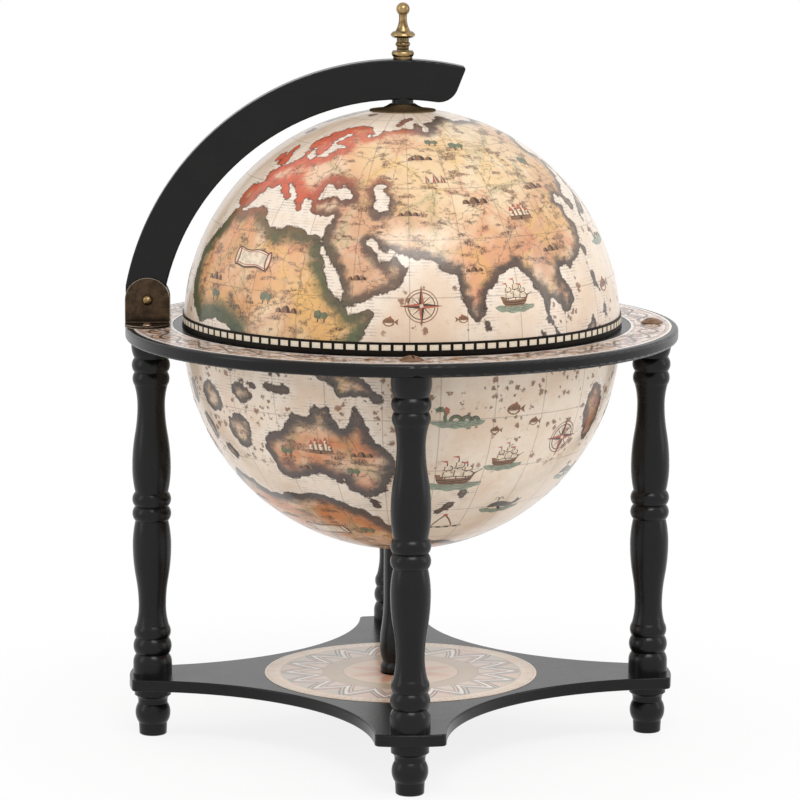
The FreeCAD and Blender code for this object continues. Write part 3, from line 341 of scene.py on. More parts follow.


# Coasts of a plain world map, listed as longitude, latitude, each after its name.
COASTS = """
africa -6,36 -2,35 3,37 10,37.5 11,34 15,32.3 20,31 22,33 25,31.8 29,31 33,31.2 33.5,28 35.5,24 37.2,20.5
38.5,18 40,15 43,12 45,10.5 51,12 50,9 48,5 44,1.5 41,-2 39,-6 40.5,-11 40.5,-15 36,-19 35,-24 32.5,-27
30,-31 27,-33.8 22,-34.2 18.3,-34 17.5,-31 15,-27 13.5,-22 12,-17 13.5,-11 12,-5.5 9,-1 9.5,3.5 8.5,4.6 5,6
1,6 -4,5.2 -8,4.5 -12,7.5 -15,11 -17.3,14.8 -16.3,19 -17,21 -15,24 -13,27.7 -9.8,30 -8.5,33.3
eurasia -9,37 -9.5,39 -8.8,43.2 -2,43.4 -1.2,46 -4.7,48.4 -1.5,48.7 -1.5,49.7 1.5,50.2 4,51.8 8,53.8 8.2,57
10.5,57.6 10,54.5 14,54 18.5,54.8 21,55.5 22,57.5 24,59.2 29,60 25,60.4 22,60.5 21.3,63 25,65.5 22,65.8
18,62.5 17.2,60.7 18.8,59.5 16.5,56.5 14.3,55.5 12.8,56 11.2,59 8,58.2 5.5,59 5,61.8 9,64 13,66.5 16,68.7
21,70 26,71 30,70 36,69 41,67 40,66 34,66.7 37,64.5 40,64.8 44,66.2 44,68.5 48,67.7 54,68.7 60,69.3 66,69
68,71 67,72.8 73,72.5 73,69 74,67.5 77,69 76,72 81,73.3 87,75 98,76.3 104,77.7 113,74.5 113,73.6 122,73
128,72.2 130,71 140,72.5 150,71.5 160,69.7 170,69.8 180,68.5 190,66.3 186,64.5 179,62.4 171,60.2 164,59.7
162.5,56.5 160,53 156.8,51 155.8,56 160,60.5 156,61.5 150,59.5 142,59.2 135.5,54.8 141,53 140.5,50 136,45
132,43 129.5,41.5 127.5,39.7 129.3,37 129,35.2 126.4,34.4 126.5,37.5 125,38 124.5,40 121.3,39 121.8,40.8
118,39 119,37.3 122.4,37.3 119.5,35 120.5,33.5 121.9,31 121.5,28.5 119.5,25.5 116.5,23 113.5,22.2
110.3,20.5 109.5,21.5 107,21 105.7,18.9 108.5,15.5 109.3,12 107,10.4 105,8.7 104.8,10.3 102.5,12 101,13.4
100,13.3 99.3,10 100.5,7.2 103.4,3.5 104.2,1.4 101.3,2.9 100.3,6 98.3,8 98.6,12 97.6,16.5 95.3,15.8 94.3,18
92,21.5 90.5,22.5 87,21.5 85,19.7 82.3,16.7 80.2,15 80.2,12.5 79.8,10.3 77.5,8.1 76.3,10 74.8,13 73.4,17
72.8,20.5 72.5,22 70.5,20.8 69,22.3 67,24.7 61.6,25.1 57.2,25.8 56.5,27 52.5,27.5 50.2,30 48,30 48.5,28.3
50.2,26.5 51.3,25.9 51.4,24.4 54,24.2 56.3,26.2 56.7,24.3 59.8,22.5 57.8,20.2 57.7,19 55,17 52.2,15.6
48.7,14 45,12.8 43.4,12.7 42.8,16 40.5,20 38.5,23.6 36.5,26 34.6,28.2 34,31.2 34.5,31.8 35.8,35.5 36,36.8
33.5,36 30.5,36.5 27.5,36.8 26.3,38.5 26.3,40 29,41 31.5,41.3 35,42 38,41 41.5,41.8 38.5,44.3 37,45.5 39,47
35,46.3 36,45 33.6,44.4 32.8,46 30.7,46.3 28.6,44 27.7,42.5 29,41.2 26.5,40.5 24,40.6 22.8,40.3 24,38
22.8,36.5 21.3,37.5 19.4,41 19.3,42 15.5,44 13.7,45.6 12.4,45 13.6,43.5 16,42 18.4,40 17,40.5 16.5,39
15.7,38 15.7,40 12.3,41.7 10.3,43.8 8.8,44.4 6,43.1 3.2,43.3 3.2,41.9 0.2,40 -0.3,38.6 -2,36.8 -5.5,36.1
-6.5,36.9
north_america -168,65.7 -161.5,66.5 -166,68.3 -157,71.2 -141,69.7 -128,70.2 -115,68 -108,68 -97,68 -94,71.5
-88,68.5 -82,69.5 -82,67 -87,64.5 -94,61 -94.5,58.7 -88,56.5 -82.3,55.2 -82,52.8 -79.5,51.3 -79,54.5 -77,57
-78,60.5 -77.5,62.5 -73,62 -70,60.8 -67.5,58.3 -64.5,60.3 -61.5,57 -57,54.5 -56,52 -60,50.2 -66.5,50.2
-70,47.5 -65,48.8 -64.5,46.5 -60.2,46 -65.5,43.5 -67,44.7 -70.5,43 -70,41.7 -74,40.5 -76,37 -75.7,35.3
-81,31.5 -80.2,26 -81.2,25.3 -82.7,28 -84,30 -89.2,30.2 -94,29.5 -97.3,27.5 -97.8,22.3 -95.5,18.7
-91.5,18.6 -90.3,21.2 -87,21.3 -88.2,17 -83.5,15 -83.6,11 -79.5,9.5 -77.4,8.6 -78.5,7.4 -80.5,7.3 -83.5,8.3
-86,11 -92,14.3 -97,15.8 -105.5,20 -106,23 -109.4,26 -113,31 -114.7,31.5 -112,27.5 -109.6,23 -112.2,25.5
-115,29.5 -117.2,32.6 -120.6,34.5 -124.3,40.3 -124.2,46.5 -123,49 -128,51.5 -131,55.3 -137,58.7 -145,60.5
-152,59.3 -158,56.5 -164.5,54.6 -158,58.6 -162,60 -166,61.7 -161,64.3
south_america -77.4,8.6 -74.8,11 -71.5,12.3 -68,10.7 -62,10.6 -60,8.4 -51.5,4.3 -50,0 -44,-2.5 -39,-3
-35.2,-5.5 -35,-9 -39,-14 -39.5,-18.5 -42,-22.8 -48,-25.5 -49,-28.8 -53.5,-34 -58,-34.3 -57,-37 -62,-39
-65,-41 -65.5,-45 -69,-50.5 -68.3,-52.5 -65.5,-54.8 -70,-55.2 -74.5,-51.5 -75.5,-47 -73,-42 -73.5,-37
-71.5,-30 -70.3,-19 -76,-14 -79.5,-8 -81.2,-5 -80,-2.5 -80,0.8 -77.5,4 -78,7.4
australia 114,-22 117,-20.6 121.8,-18.5 122.5,-16.8 126,-14 129.5,-15 130.8,-12.3 136.5,-12 135.8,-15
139.5,-17.5 141.2,-16 142.3,-10.8 145,-15 146.3,-18.9 149.5,-22 153,-25.5 153.4,-29 151,-33.8 150,-37.3
146.5,-39 143.5,-38.7 140,-37.5 138,-35.5 137.8,-33 135.5,-34.8 131.5,-31.5 124,-33.2 119.5,-34.5
115.2,-34.3 115.7,-31.5 113.4,-26
greenland -43.5,60 -48.5,61 -53,66 -54,69.5 -58,74.5 -68,76.3 -72,78.5 -60,82 -33,83.5 -18,80.5 -19,76
-22,71 -32,68 -40,65
britain -5.5,50.2 -3.5,50.3 1.3,51.2 1.6,52.7 0.2,53 -1.5,55 -2,57.5 -4,57.7 -3.2,58.6 -5,58.5 -6,56.7
-4.8,55.5 -3,54 -4.6,53.2 -4.2,52.3 -5.2,51.8 -3,51.4
ireland -10,51.7 -6.3,52.2 -6,54 -7.5,55.3 -10,54.2 -9,53.2
iceland -22.5,64 -18.5,63.4 -13.7,65 -16,66.4 -22.5,66.3 -24,65.5 -22,64.6
svalbard 12,78 17,76.7 21,78.3 18,80 12,79.5
novaya 52,71 57,70.7 58,73 68,76.7 60,76 54,73.3
ceylon 79.8,9.5 81.8,7.5 80.6,6 79.8,7.5
madagascar 49.3,-12.1 50.4,-15.5 47.2,-24.8 45.2,-25.4 43.4,-22 44.4,-19.8 44.2,-16.3 47,-15
honshu 130.2,31.2 131.8,33.6 135.7,33.6 138.5,34.7 140.8,35.7 142,39.5 141.2,41.3 139.8,39.5 136.8,37
132.5,35.4 129.8,33.3
hokkaido 140,41.6 143.2,42 145.4,43.4 141.8,45.4 140.4,43.3
sakhalin 142,46 143.5,49 143,54 142,51
formosa 120.2,23 121,22 121.8,25 120.8,24.6
luzon 120.3,16 120.6,18.5 122.2,18.4 121.6,15.8 124,12.7 120.7,13.8
mindanao 122,7 125.5,6 126.5,8 125.2,9.8 123.4,8.6
sumatra 95.3,5.6 98,4.2 103.5,-1 106,-3.2 105.7,-5.8 102,-4 98.7,1.7
java 105.3,-6.7 108.5,-6.7 112.7,-6.9 114.4,-8.3 110,-8 106.5,-7.4
borneo 109,1.5 111.3,2.6 113.2,3.5 116.8,7 119,5.2 117.6,1 116.2,-4 114.3,-3.5 110.3,-2.8
celebes 119.5,-5.5 120.3,-3 122.5,-5 121.6,-1.9 123.3,-0.9 120.2,0.8 124.9,1.5 120,1.2 118.9,-2.8
new_guinea 131,-0.8 134.2,-0.8 135,-3.3 138,-1.7 144.5,-3.8 147.8,-6 150.8,-10.3 147,-9.2 143.5,-8.3 141,-9
138,-8.2 137.5,-5.2 133,-4
tasmania 144.7,-40.7 148.2,-40.9 147.8,-43.2 146,-43.5
north_island 172.8,-34.5 175.5,-36.8 178.4,-37.8 177,-39.5 175.3,-41.5 173.8,-39.3 174.8,-37.5
south_island 172.8,-40.7 174.2,-41.7 171.3,-44.2 168.8,-46.6 166.5,-46 170,-43
baffin -65,62 -72,63.5 -78,64.5 -73,67.5 -80,70 -89,70.5 -88,73.5 -78,73 -67,69.5 -62,66.7
ellesmere -90,77 -78,76.5 -64,81.5 -75,83 -92,81
victoria -117,70 -105,69 -102,72 -112,73.3
cuba -84.8,22 -80.5,23.1 -74.3,20.2 -77.5,19.9 -81.5,22.2
hispaniola -74.3,18.4 -71.5,19.9 -68.5,18.6 -71.3,17.8
west_isle 89,-11 94.5,-8.5 99,-11.5 98,-17 92.5,-18
broad_isle 100,-19 105.5,-16 110,-20 107,-26.5 101,-26
small_isle 84,-20 88,-18.5 90.5,-24 87,-27
north_isle 104,-9 109.5,-7.5 112.5,-11 108.5,-14.5
low_isle 92,-27.5 96.5,-26 98.5,-30 94.5,-31.5
long_isle 116,-7.5 122,-6.5 126,-8.5 121,-10.5
far_isle 78,-12 82,-10 84,-15 80,-17
east_isle 213,-12 219,-9 224,-16 222,-26 216,-24
newfoundland -59.2,47.7 -55.5,47 -52.8,47.5 -55.8,51.3 -57.5,50
"""
LAKES = """
caspian 47.5,45.5 51.5,46.8 53,45.3 51,44.5 53.8,42 53.8,37 50,37.4 49,39 49.5,40.5 47.6,43
"""
SOUTHERN_COAST = """
-180,-64 -160,-68 -140,-62 -120,-66 -100,-58 -80,-64 -62,-60 -45,-66 -20,-58 0,-63 20,-66 40,-60 56,-56
68,-47 78,-40 88,-36 97,-38 105,-42 113,-41 121,-39.5 130,-40 138,-43.5 146,-48 154,-55 163,-60 172,-63
180,-64
"""

# Washes of the map: inland colour, edge colour, width of the edge in degrees, places.
WASHES = """
238,160,122 224,98,68 3.8 -4,41 5,47 13,43 22,41
240,168,128 222,98,70 3.8 22,58
244,208,158 220,124,88 2.6 45,57
232,174,124 56,92,60 4.8 -6,31 8,33 20,29 30,27
230,170,122 58,92,62 4.6 0,20 16,20
240,190,114 58,94,60 4.9 34,19 43,7 26,10
226,170,110 52,80,52 7.0 -6,9 4,9 12,6 20,2
232,176,112 78,98,62 4.2 25,-18
222,174,140 100,80,70 2.8 46,23 40,25 44,17 50,17 56,21 36,33
208,150,110 98,76,64 2.0 35,39
230,180,140 102,84,74 1.9 55,33
246,212,166 128,104,86 1.4 66,45
234,172,130 74,64,60 3.2 78,20
210,152,114 74,66,62 3.4 102,17
226,176,132 94,80,70 2.8 112,32
244,212,166 102,86,72 2.2 92,50
240,208,164 80,72,66 4.0 100,66
230,190,138 92,82,68 3.2 150,62
178,116,80 74,66,62 2.6 112,0 98,-20
212,160,114 90,76,62 2.2 138,37
206,138,92 74,70,70 2.6 140,-6
218,142,92 70,67,68 4.6 134,-26
212,152,106 84,78,72 2.2 172,-42
186,118,84 96,70,58 2.4 218,-18
232,180,116 92,112,70 3.4 -100,48
232,200,150 100,92,74 3.0 -45,70
234,178,114 84,108,66 3.8 -60,-12
218,138,86 72,70,71 4.6 85,-50 115,-60 140,-62
220,148,98 80,76,70 4.6 0,-76 -120,-74
"""


def points(text):
    """Rows of numbers from a text with spaces between the rows and commas within them."""
    return np.array([[float(number) for number in pair.split(",")] for pair in text.split()])


def rounded(outline):
    """A closed outline with its corners cut once, which rounds them."""
    after = np.roll(outline, -1, axis=0)
    cut = (after - outline) * COAST_CORNER_CUT
    return np.stack([outline + cut, after - cut], axis=1).reshape(-1, 2)


def dense(outline, closed=True):
    """Points along an outline no further apart than the coast's point gap."""
    after = np.roll(outline, -1, axis=0) if closed else outline[1:]
    pieces = []
    for start, end in zip(outline, after):
        count = max(1, int(np.hypot(*(end - start)) / COAST_POINT_GAP))
        pieces.append(start + (end - start) * np.arange(count)[:, None] / count)
    return np.concatenate(pieces)


def sphere(lon, lat):
    """Directions from the globe's centre; longitude 0 is at -Y."""
    lon, lat = np.radians(lon), np.radians(lat)
    return np.stack([np.cos(lat) * np.sin(lon), -np.cos(lat) * np.cos(lon), np.sin(lat)], axis=-1)


def inside(outline, lon, lat):
    """Even-odd test of points against an outline; the outline may pass 180 degrees east."""
    result = np.zeros(len(lon), bool)
    after = np.roll(outline, -1, axis=0)
    for turn in (0, 360):
        east = lon + turn
        for (x0, y0), (x1, y1) in zip(outline, after):
            if y0 == y1:
                continue
            crosses = (lat >= min(y0, y1)) & (lat < max(y0, y1))
            result ^= crosses & (east < x0 + (lat - y0) * (x1 - x0) / (y1 - y0))
    return result


def map_values(lon, lat):
    """Signed distance to the coast in degrees (positive on land), the washes' two colours and edge width."""
    lon = (lon + 180) % 360 - 180
    land = np.zeros(len(lon), bool)
    coast = []
    for text, is_land in ((COASTS, True), (LAKES, False)):
        for places in re.split("[a-z_]+", text)[1:]:
            outline = rounded(points(places))
            land[inside(outline, lon, lat)] = is_land
            coast.append(dense(outline))
    southern = points(SOUTHERN_COAST)
    land |= lat < np.interp(lon, southern[:, 0], southern[:, 1])
    coast.append(dense(southern, closed=False))
    coast = np.concatenate(coast)
    tree = kdtree.KDTree(len(coast))
    for index, point in enumerate(sphere(coast[:, 0], coast[:, 1])):
        tree.insert(point, index)
    tree.balance()
    places = sphere(lon, lat)
    distance = np.degrees([tree.find(place)[2] for place in places])
    washes = [line.split() for line in WASHES.strip().splitlines()]
    seeds = [(*wash[:3], spot) for wash in washes for spot in wash[3:]]
    inland, edge, width, spots = (points(" ".join(column)) for column in zip(*seeds))
    centres = sphere(*spots.T)
    apart = np.degrees(np.arccos(np.clip(places @ centres.T, -1, 1)))
    weight = np.exp((apart.min(axis=1, keepdims=True) - apart) / WASH_SPREAD)
    weight /= weight.sum(axis=1, keepdims=True)
    inland, edge = (weight @ [srgb(*tone) for tone in tones] for tones in (inland, edge))
    return np.where(land, distance, -distance), inland, edge, weight @ width[:, 0]


def shell_rings(upper):
    """Closed profile of a globe half, from the pole outside to the pole inside: radius, height, outside."""
    hole = DOME_POLE_HOLE if upper else BOWL_POLE_HOLE
    rim = DOME_RIM - DOME_CENTRE if upper else 0.0

    def meridian(radius, step, outside):
        start, end = math.acos(hole / radius), math.asin(rim / radius)
        angles = np.linspace(start, end, round(math.degrees(start - end) / step) + 1)
        return [(radius * math.cos(angle), radius * math.sin(angle), outside) for angle in angles]

    inner = GLOBE_RADIUS - SHELL_WALL
    neck = BOWL_CENTRE - BOWL_RIM
    edge = [] if upper else [(GLOBE_RADIUS, neck, True), (inner, neck, False)]
    return meridian(GLOBE_RADIUS, OUTER_STEP, True) + edge + meridian(inner, INNER_STEP, False)[::-1]


def globe_half(name, upper, front, materials):
    """One half of the globe as a closed shell, with the map's values on its points."""
    centre, up = (DOME_CENTRE, 1) if upper else (BOWL_CENTRE, -1)
    radius, height, outside = (np.array(column) for column in zip(*shell_rings(upper)))
    count = len(radius)
    turn = np.arange(MERIDIANS) * math.tau / MERIDIANS
    spots = np.stack([np.outer(radius, np.sin(turn)), -np.outer(radius, np.cos(turn)),
                      np.repeat(centre + up * height[:, None], MERIDIANS, axis=1)], axis=-1)
    row, column = np.divmod(np.arange(count * MERIDIANS), MERIDIANS)
    below, beside = (row + 1) % count, (column + 1) % MERIDIANS
    corners = [(row, column), (below, column), (below, beside), (row, beside)]
    faces = np.stack([ring * MERIDIANS + place for ring, place in corners[::up]], axis=1)
    face_outside = outside[row] & outside[below] & (below > row)
    mesh = bpy.data.meshes.new(name)
    mesh.from_pydata(spots.reshape(-1, 3).tolist(), [], faces.tolist())
    for material in materials:
        mesh.materials.append(material)
    mesh.polygons.foreach_set("material_index", np.where(face_outside, 0, 1).tolist())
    mesh.shade_smooth()
    mesh.set_sharp_from_angle(angle=math.radians(SHARP_ANGLE))

    lat = np.repeat(np.degrees(np.arctan2(up * height, radius)), MERIDIANS)
    lon = np.tile(np.degrees(turn) + front, count)
    land, inland, edge, width = map_values(lon, lat)
    for label, kind, field, values in (
            ("land", "FLOAT", "value", land), ("edge_width", "FLOAT", "value", width),
            ("inland", "FLOAT_COLOR", "color", inland), ("edge", "FLOAT_COLOR", "color", edge)):
        layer = mesh.attributes.new(label, kind, "POINT")
        layer.data.foreach_set(field, np.asarray(values, np.float32).ravel())

    length = np.concatenate([[0], np.hypot(np.diff(radius), np.diff(height))]).cumsum()
    last = int(np.flatnonzero(outside)[-1])
    left = length[-1] - length
    outside_reach = OUTSIDE_DISC[1] * (length + POLE_GAP) / (length[last] + POLE_GAP)
    inside_reach = INSIDE_DISC[1] * (left + POLE_GAP) / (left[last] + POLE_GAP)
    ring, place = np.divmod(faces, MERIDIANS)
    on_outside = face_outside[:, None]
    inside_reach = np.where(ring == 0, POLE_WALL_REACH, inside_reach[ring])
    reach = np.where(on_outside, outside_reach[ring], inside_reach)
    middle = np.where(on_outside, OUTSIDE_DISC[0], INSIDE_DISC[0])
    layout = np.stack([middle + reach * np.sin(turn)[place], middle + reach * np.cos(turn)[place]], axis=-1)
    mesh.uv_layers.new(name="OFBake").data.foreach_set("uv", layout.astype(np.float32).ravel())
    return placed(name, mesh)


class Figures:
    """Small figures of the map, drawn flat in degrees and laid on a globe half as thin closed prisms."""

    def __init__(self, centre, front):
        self.centre = Vector((0, 0, centre))
        self.front = front
        self.spots, self.faces, self.inks = [], [], []

    def at(self, lon, lat, size=1.0, turn=0.0, flip=1):
        """Sets the place, size and turn of the next figure."""
        self.unit = Vector(sphere(lon - self.front, lat))
        self.east = Vector((0, 0, 1)).cross(self.unit).normalized()
        self.north = self.unit.cross(self.east)
        turn = math.radians(turn)
        self.axes = size * np.array([[flip * math.cos(turn), flip * math.sin(turn)],
                                     [-math.sin(turn), math.cos(turn)]])
        self.laid = []
        return self

    def lay(self, point):
        """Direction from the globe's centre to a point of the flat drawing."""
        reach = math.hypot(point.x, point.y)
        if reach == 0:
            return self.unit
        aside = (self.east * point.x + self.north * point.y) / reach
        return self.unit * math.cos(math.radians(reach)) + aside * math.sin(math.radians(reach))

    def shape(self, ink, outline):
        """Adds a filled outline above what the figure already has in that place."""
        flat = (points(outline) if isinstance(outline, str) else np.asarray(outline, float)) @ self.axes
        after = np.roll(flat, -1, axis=0)
        if np.sum(flat[:, 0] * after[:, 1] - flat[:, 1] * after[:, 0]) < 0:
            flat = flat[::-1]
        low, high = flat.min(axis=0), flat.max(axis=0)
        under = [layer for layer, start, end in self.laid
                 if (start < high).all() and (low < end).all()]
        layer = max(under, default=0) + 1
        self.laid.append((layer, low, high))
        work = bmesh.new()
        work.faces.new([work.verts.new((*point, 0)) for point in flat])
        work.normal_update()
        bmesh.ops.triangulate(work, faces=work.faces[:])
        for _ in range(FIGURE_SPLITS):
            wide = [edge for edge in work.edges if edge.calc_length() > FIGURE_SPAN]
            if wide:
                bmesh.ops.subdivide_edges(work, edges=wide, cuts=1)
                work.normal_update()
                bmesh.ops.triangulate(work, faces=work.faces[:])
        work.verts.index_update()
        start, count = len(self.spots), len(work.verts)
        for radius in (GLOBE_RADIUS + FIGURE_LIFT + layer * FIGURE_LAYER, GLOBE_RADIUS - FIGURE_SINK):
            self.spots += [self.lay(vertex.co) * radius + self.centre for vertex in work.verts]
        for face in work.faces:
            top = [start + vertex.index for vertex in face.verts]
            self.faces += [top, [index + count for index in reversed(top)]]
        for edge in work.edges:
            if edge.is_boundary:
                loop = edge.link_loops[0]
                first, last = start + loop.vert.index, start + loop.link_loop_next.vert.index
                self.faces.append([first, first + count, last + count, last])
        self.inks += [ink] * (len(self.faces) - len(self.inks))
        work.free()

    def line(self, ink, path, width=0.2, start=1.0, end=1.0):
        """Adds a line, which may narrow towards its ends."""
        path = points(path) if isinstance(path, str) else np.asarray(path, float)
        along = np.gradient(path, axis=0)
        along /= np.linalg.norm(along, axis=1, keepdims=True)
        across = np.stack([-along[:, 1], along[:, 0]], axis=1) * width / 2
        across *= np.linspace(start, end, len(path))[:, None]
        self.shape(ink, np.concatenate([path - across, (path + across)[::-1]]))

    def waves(self, width, depth):
        """Adds a patch of water with three wave lines under a figure."""
        x = np.linspace(-1.15 * width, 1.15 * width, 31)
        fade = np.sqrt(1 - (x / (1.16 * width)) ** 2)
        top = depth + 0.3 * fade + 0.09 * np.sin(3.1 * x)
        low = depth - 1.45 * fade + 0.13 * np.sin(2.3 * x)
        self.shape("water", np.concatenate([np.stack([x, top], axis=1), np.stack([x, low], axis=1)[::-1]]))
        for row in range(3):
            x = np.linspace(-width + 0.7 * row, width - 0.4 * row, 25)
            y = depth - 0.45 * row + 0.13 * np.sin(2.4 * x + row)
            self.line("green", np.stack([x, y], axis=1), 0.26, 0.3, 0.5)

    def build(self, name, materials):
        """The figures as one object."""
        mesh = bpy.data.meshes.new(name)
        mesh.from_pydata(self.spots, [], self.faces)
        order = list(materials)
        for ink in order:
            mesh.materials.append(materials[ink])
        mesh.polygons.foreach_set("material_index", [order.index(ink) for ink in self.inks])
        return placed(name, mesh)


def arc(x, y, radius, start, end, count, squash=1.0):
    """Points along an arc from one angle to another, which may be made taller or flatter."""
    angle = np.radians(np.linspace(start, end, count))
    return np.stack([x + radius * np.cos(angle), y + squash * radius * np.sin(angle)], axis=1)


def box(left, low, right, high):
    """Corners of a rectangle."""
    return [(left, low), (right, low), (right, high), (left, high)]


def ship(draw):
    """Three-masted sailing ship on waves."""
    draw.waves(4.2, -1.1)
    draw.shape("sepia", "-3.3,1 -2.8,-0.5 -2.2,-1.1 2.1,-1.1 2.8,-0.4 3.6,1.3 2.6,1 2.2,0.2 "
                        "-1.7,0.1 -2.1,0.9")
    draw.line("dark", "-2.9,-0.1 0,-0.45 2.9,-0.1", 0.2)
    draw.line("dark", "-2.6,-0.6 0,-0.85 2.4,-0.7", 0.16)
    draw.line("dark", "3.3,1 4.6,1.7", 0.16, 1.0, 0.4)
    for mast, height in ((-1.5, 3.4), (0.3, 4.3), (1.9, 3.1)):
        draw.line("dark", [(mast, 0.1), (mast, height)], 0.18)
        for low, tall, wide in ((0.12, 0.36, 0.85), (0.52, 0.3, 0.62)):
            foot, head = low * height + 0.1, (low + tall) * height
            edge = [(mast - wide, foot), (mast - 0.85 * wide, head), (mast + 0.85 * wide, head)]
            belly = arc(mast + 0.8 * wide, (foot + head) / 2, (head - foot) / 2, 90, -90, 7)
            sail = np.concatenate([edge, belly])
            draw.shape("pale", sail)
            draw.line("sepia", [(mast - 0.6 * wide, foot + 0.1), (mast - 0.5 * wide, head - 0.1)], 0.2)
            draw.line("dark", sail[2:], 0.16)
            draw.line("dark", [(mast - wide, foot), (mast + wide, foot)], 0.14)
        draw.shape("red", [(mast, height), (mast, height + 0.45), (mast - 1.2, height + 0.3)])


def rose(draw):
    """Compass star of sixteen points in two rings."""
    for radius, ink in ((3.3, "sepia"), (2.7, "dark")):
        for start in (0, 180):
            draw.line(ink, arc(0, 0, radius, start, start + 180, 24), 0.18)
    for step, reach, base in ((1, 2.5, 0.55), (2, 3.2, 0.65), (4, 4.3, 0.75)):
        for index in range(16):
            if index % step or (step < 4 and index % (2 * step) == 0):
                continue
            angle = math.radians(22.5 * index)
            tip = reach * np.array([math.sin(angle), math.cos(angle)])
            for side, ink in ((-1, "dark"), (1, "pale" if step < 4 else "red")):
                root = angle + side * math.radians(11.25 * step)
                draw.shape(ink, [(0, 0), base * np.array([math.sin(root), math.cos(root)]), tip])
    draw.shape("pale", arc(0, 0, 0.4, 0, 330, 12))


def whale(draw):
    """Whale blowing above the waves."""
    draw.waves(4.0, -0.7)
    draw.shape("slate", "-3.2,-0.1 -2.7,0.8 -1.6,1.3 -0.2,1.3 1.2,0.8 2.4,0.4 3,0.8 3.3,1.7 3.9,1 4.6,1.2 "
                        "3.9,0.2 3,-0.3 1.6,-0.6 -0.6,-0.9 -2.4,-0.8")
    draw.shape("pale", "-3,-0.3 -1.4,-0.2 0.6,-0.4 1.4,-0.6 -0.6,-0.85 -2.3,-0.75")
    draw.line("dark", "-3.2,-0.1 -2.3,0 -1.6,-0.2", 0.16)
    draw.shape("dark", arc(-2.1, 0.4, 0.17, 0, 315, 8))
    draw.shape("dark", "-0.9,-0.3 -0.1,-0.3 0.4,-1.2 -0.2,-1.1")
    for side in (-1, 1):
        spout = arc(-1.5 + 0.5 * side, 1.4, 0.5, 90 + 90 * side, 90 - 60 * side, 9, 2.4)
        draw.line("slate", spout, 0.2, 1.0, 0.5)


def fish(draw):
    """Fish with fins and a striped back."""
    body = np.concatenate([arc(-0.4, -0.9, 2.4, 150, 42, 9), arc(-0.4, 0.9, 2.4, -42, -150, 9)])
    draw.shape("sepia", "1.2,0 2.9,1.1 2.5,0 2.9,-1.1")
    draw.shape("red", "-1,1.3 0.2,2.1 0.9,0.8")
    draw.shape("sepia", body)
    draw.shape("pale", "-1.9,-0.3 0,-0.4 1,-0.3 0,-1.2 -1.2,-1")
    for x in (-1.0, -0.4, 0.2, 0.8):
        draw.line("dark", [(x, 0.9 - 0.3 * abs(x)), (x + 0.25, 0)], 0.16)
    draw.shape("dark", arc(-1.8, 0.3, 0.17, 0, 315, 8))


def serpent(draw):
    """Sea serpent whose back rises from the waves in humps."""
    draw.waves(5.0, -0.4)
    for x, radius in ((-0.6, 1.1), (1.7, 0.9), (3.5, 0.65)):
        draw.line("green", arc(x, -0.3, radius, 180, 0, 15), 0.75)
        draw.line("dark", arc(x, -0.3, radius + 0.37, 170, 10, 15), 0.14)
    draw.line("green", "-2.6,-0.4 -2.9,0.6 -2.7,1.5 -3.1,2.2 -3.8,2.4", 0.8, 1.0, 0.9)
    draw.shape("green", "-3.3,2.9 -4.1,3 -5,2.4 -4.9,2.1 -4,1.8 -3.4,1.9")
    draw.shape("red", "-2.6,1 -2,1.6 -2.4,2 -1.9,2.4 -2.8,3 -3.1,2.5 -2.6,1.7")
    draw.shape("dark", arc(-3.9, 2.55, 0.16, 0, 315, 8))


def tree(draw):
    """Two round trees."""
    for x, size in ((-0.8, 1.0), (0.8, 0.8)):
        draw.line("dark", [(x, -1), (x, 0.2)], 0.3)
        crown = arc(x, 0.7 * size, 1.0 * size, 0, 340, 16) + 0.13 * arc(0, 0, 1, 0, 2040, 16)
        draw.shape("green", crown)
        draw.line("dark", arc(x, 0.7 * size, 0.6 * size, -70, 50, 8), 0.2, 0.4, 0.4)
    draw.line("sepia", "-2.2,-1 0,-1.15 2.2,-1", 0.22, 0.3, 0.3)


def town(draw):
    """Walled town with towers and pointed roofs."""
    draw.line("sepia", "-3.2,-1 0,-1.2 3.2,-1", 0.3, 0.3, 0.3)
    for x, wide, tall in points("-1.9,0.55,1 -0.8,0.45,1.9 0.4,0.6,1.3 1.5,0.4,2.2 2.3,0.45,0.9"):
        draw.shape("pale", box(x - wide, -1, x + wide, tall))
        draw.shape("sepia", box(x + 0.25 * wide, -1, x + wide, tall))
        draw.shape("red", [(x - 1.25 * wide, tall), (x + 1.25 * wide, tall), (x, tall + 2.2 * wide)])
        draw.line("dark", [(x, tall - 0.7), (x, tall - 0.3)], 0.22)
    draw.shape("sepia", box(-2.8, -1.1, 2.9, -0.3))
    draw.line("dark", "-2.8,-0.3 0,-0.3 2.9,-0.3", 0.16)
    draw.shape("dark", np.concatenate([arc(0, -0.75, 0.3, 0, 180, 7), [(-0.3, -1.1), (0.3, -1.1)]]))


def hills(draw):
    """Row of hills shaded on one side."""
    for x, size in ((-2.2, 0.8), (1.9, 0.9), (-0.2, 1.2)):
        ridge = arc(x, -0.8, size, 180, 0, 11, 1.4)
        draw.shape("sepia", ridge)
        draw.shape("dark", np.concatenate([ridge[5:], [(x + 0.35 * size, -0.8)]]))


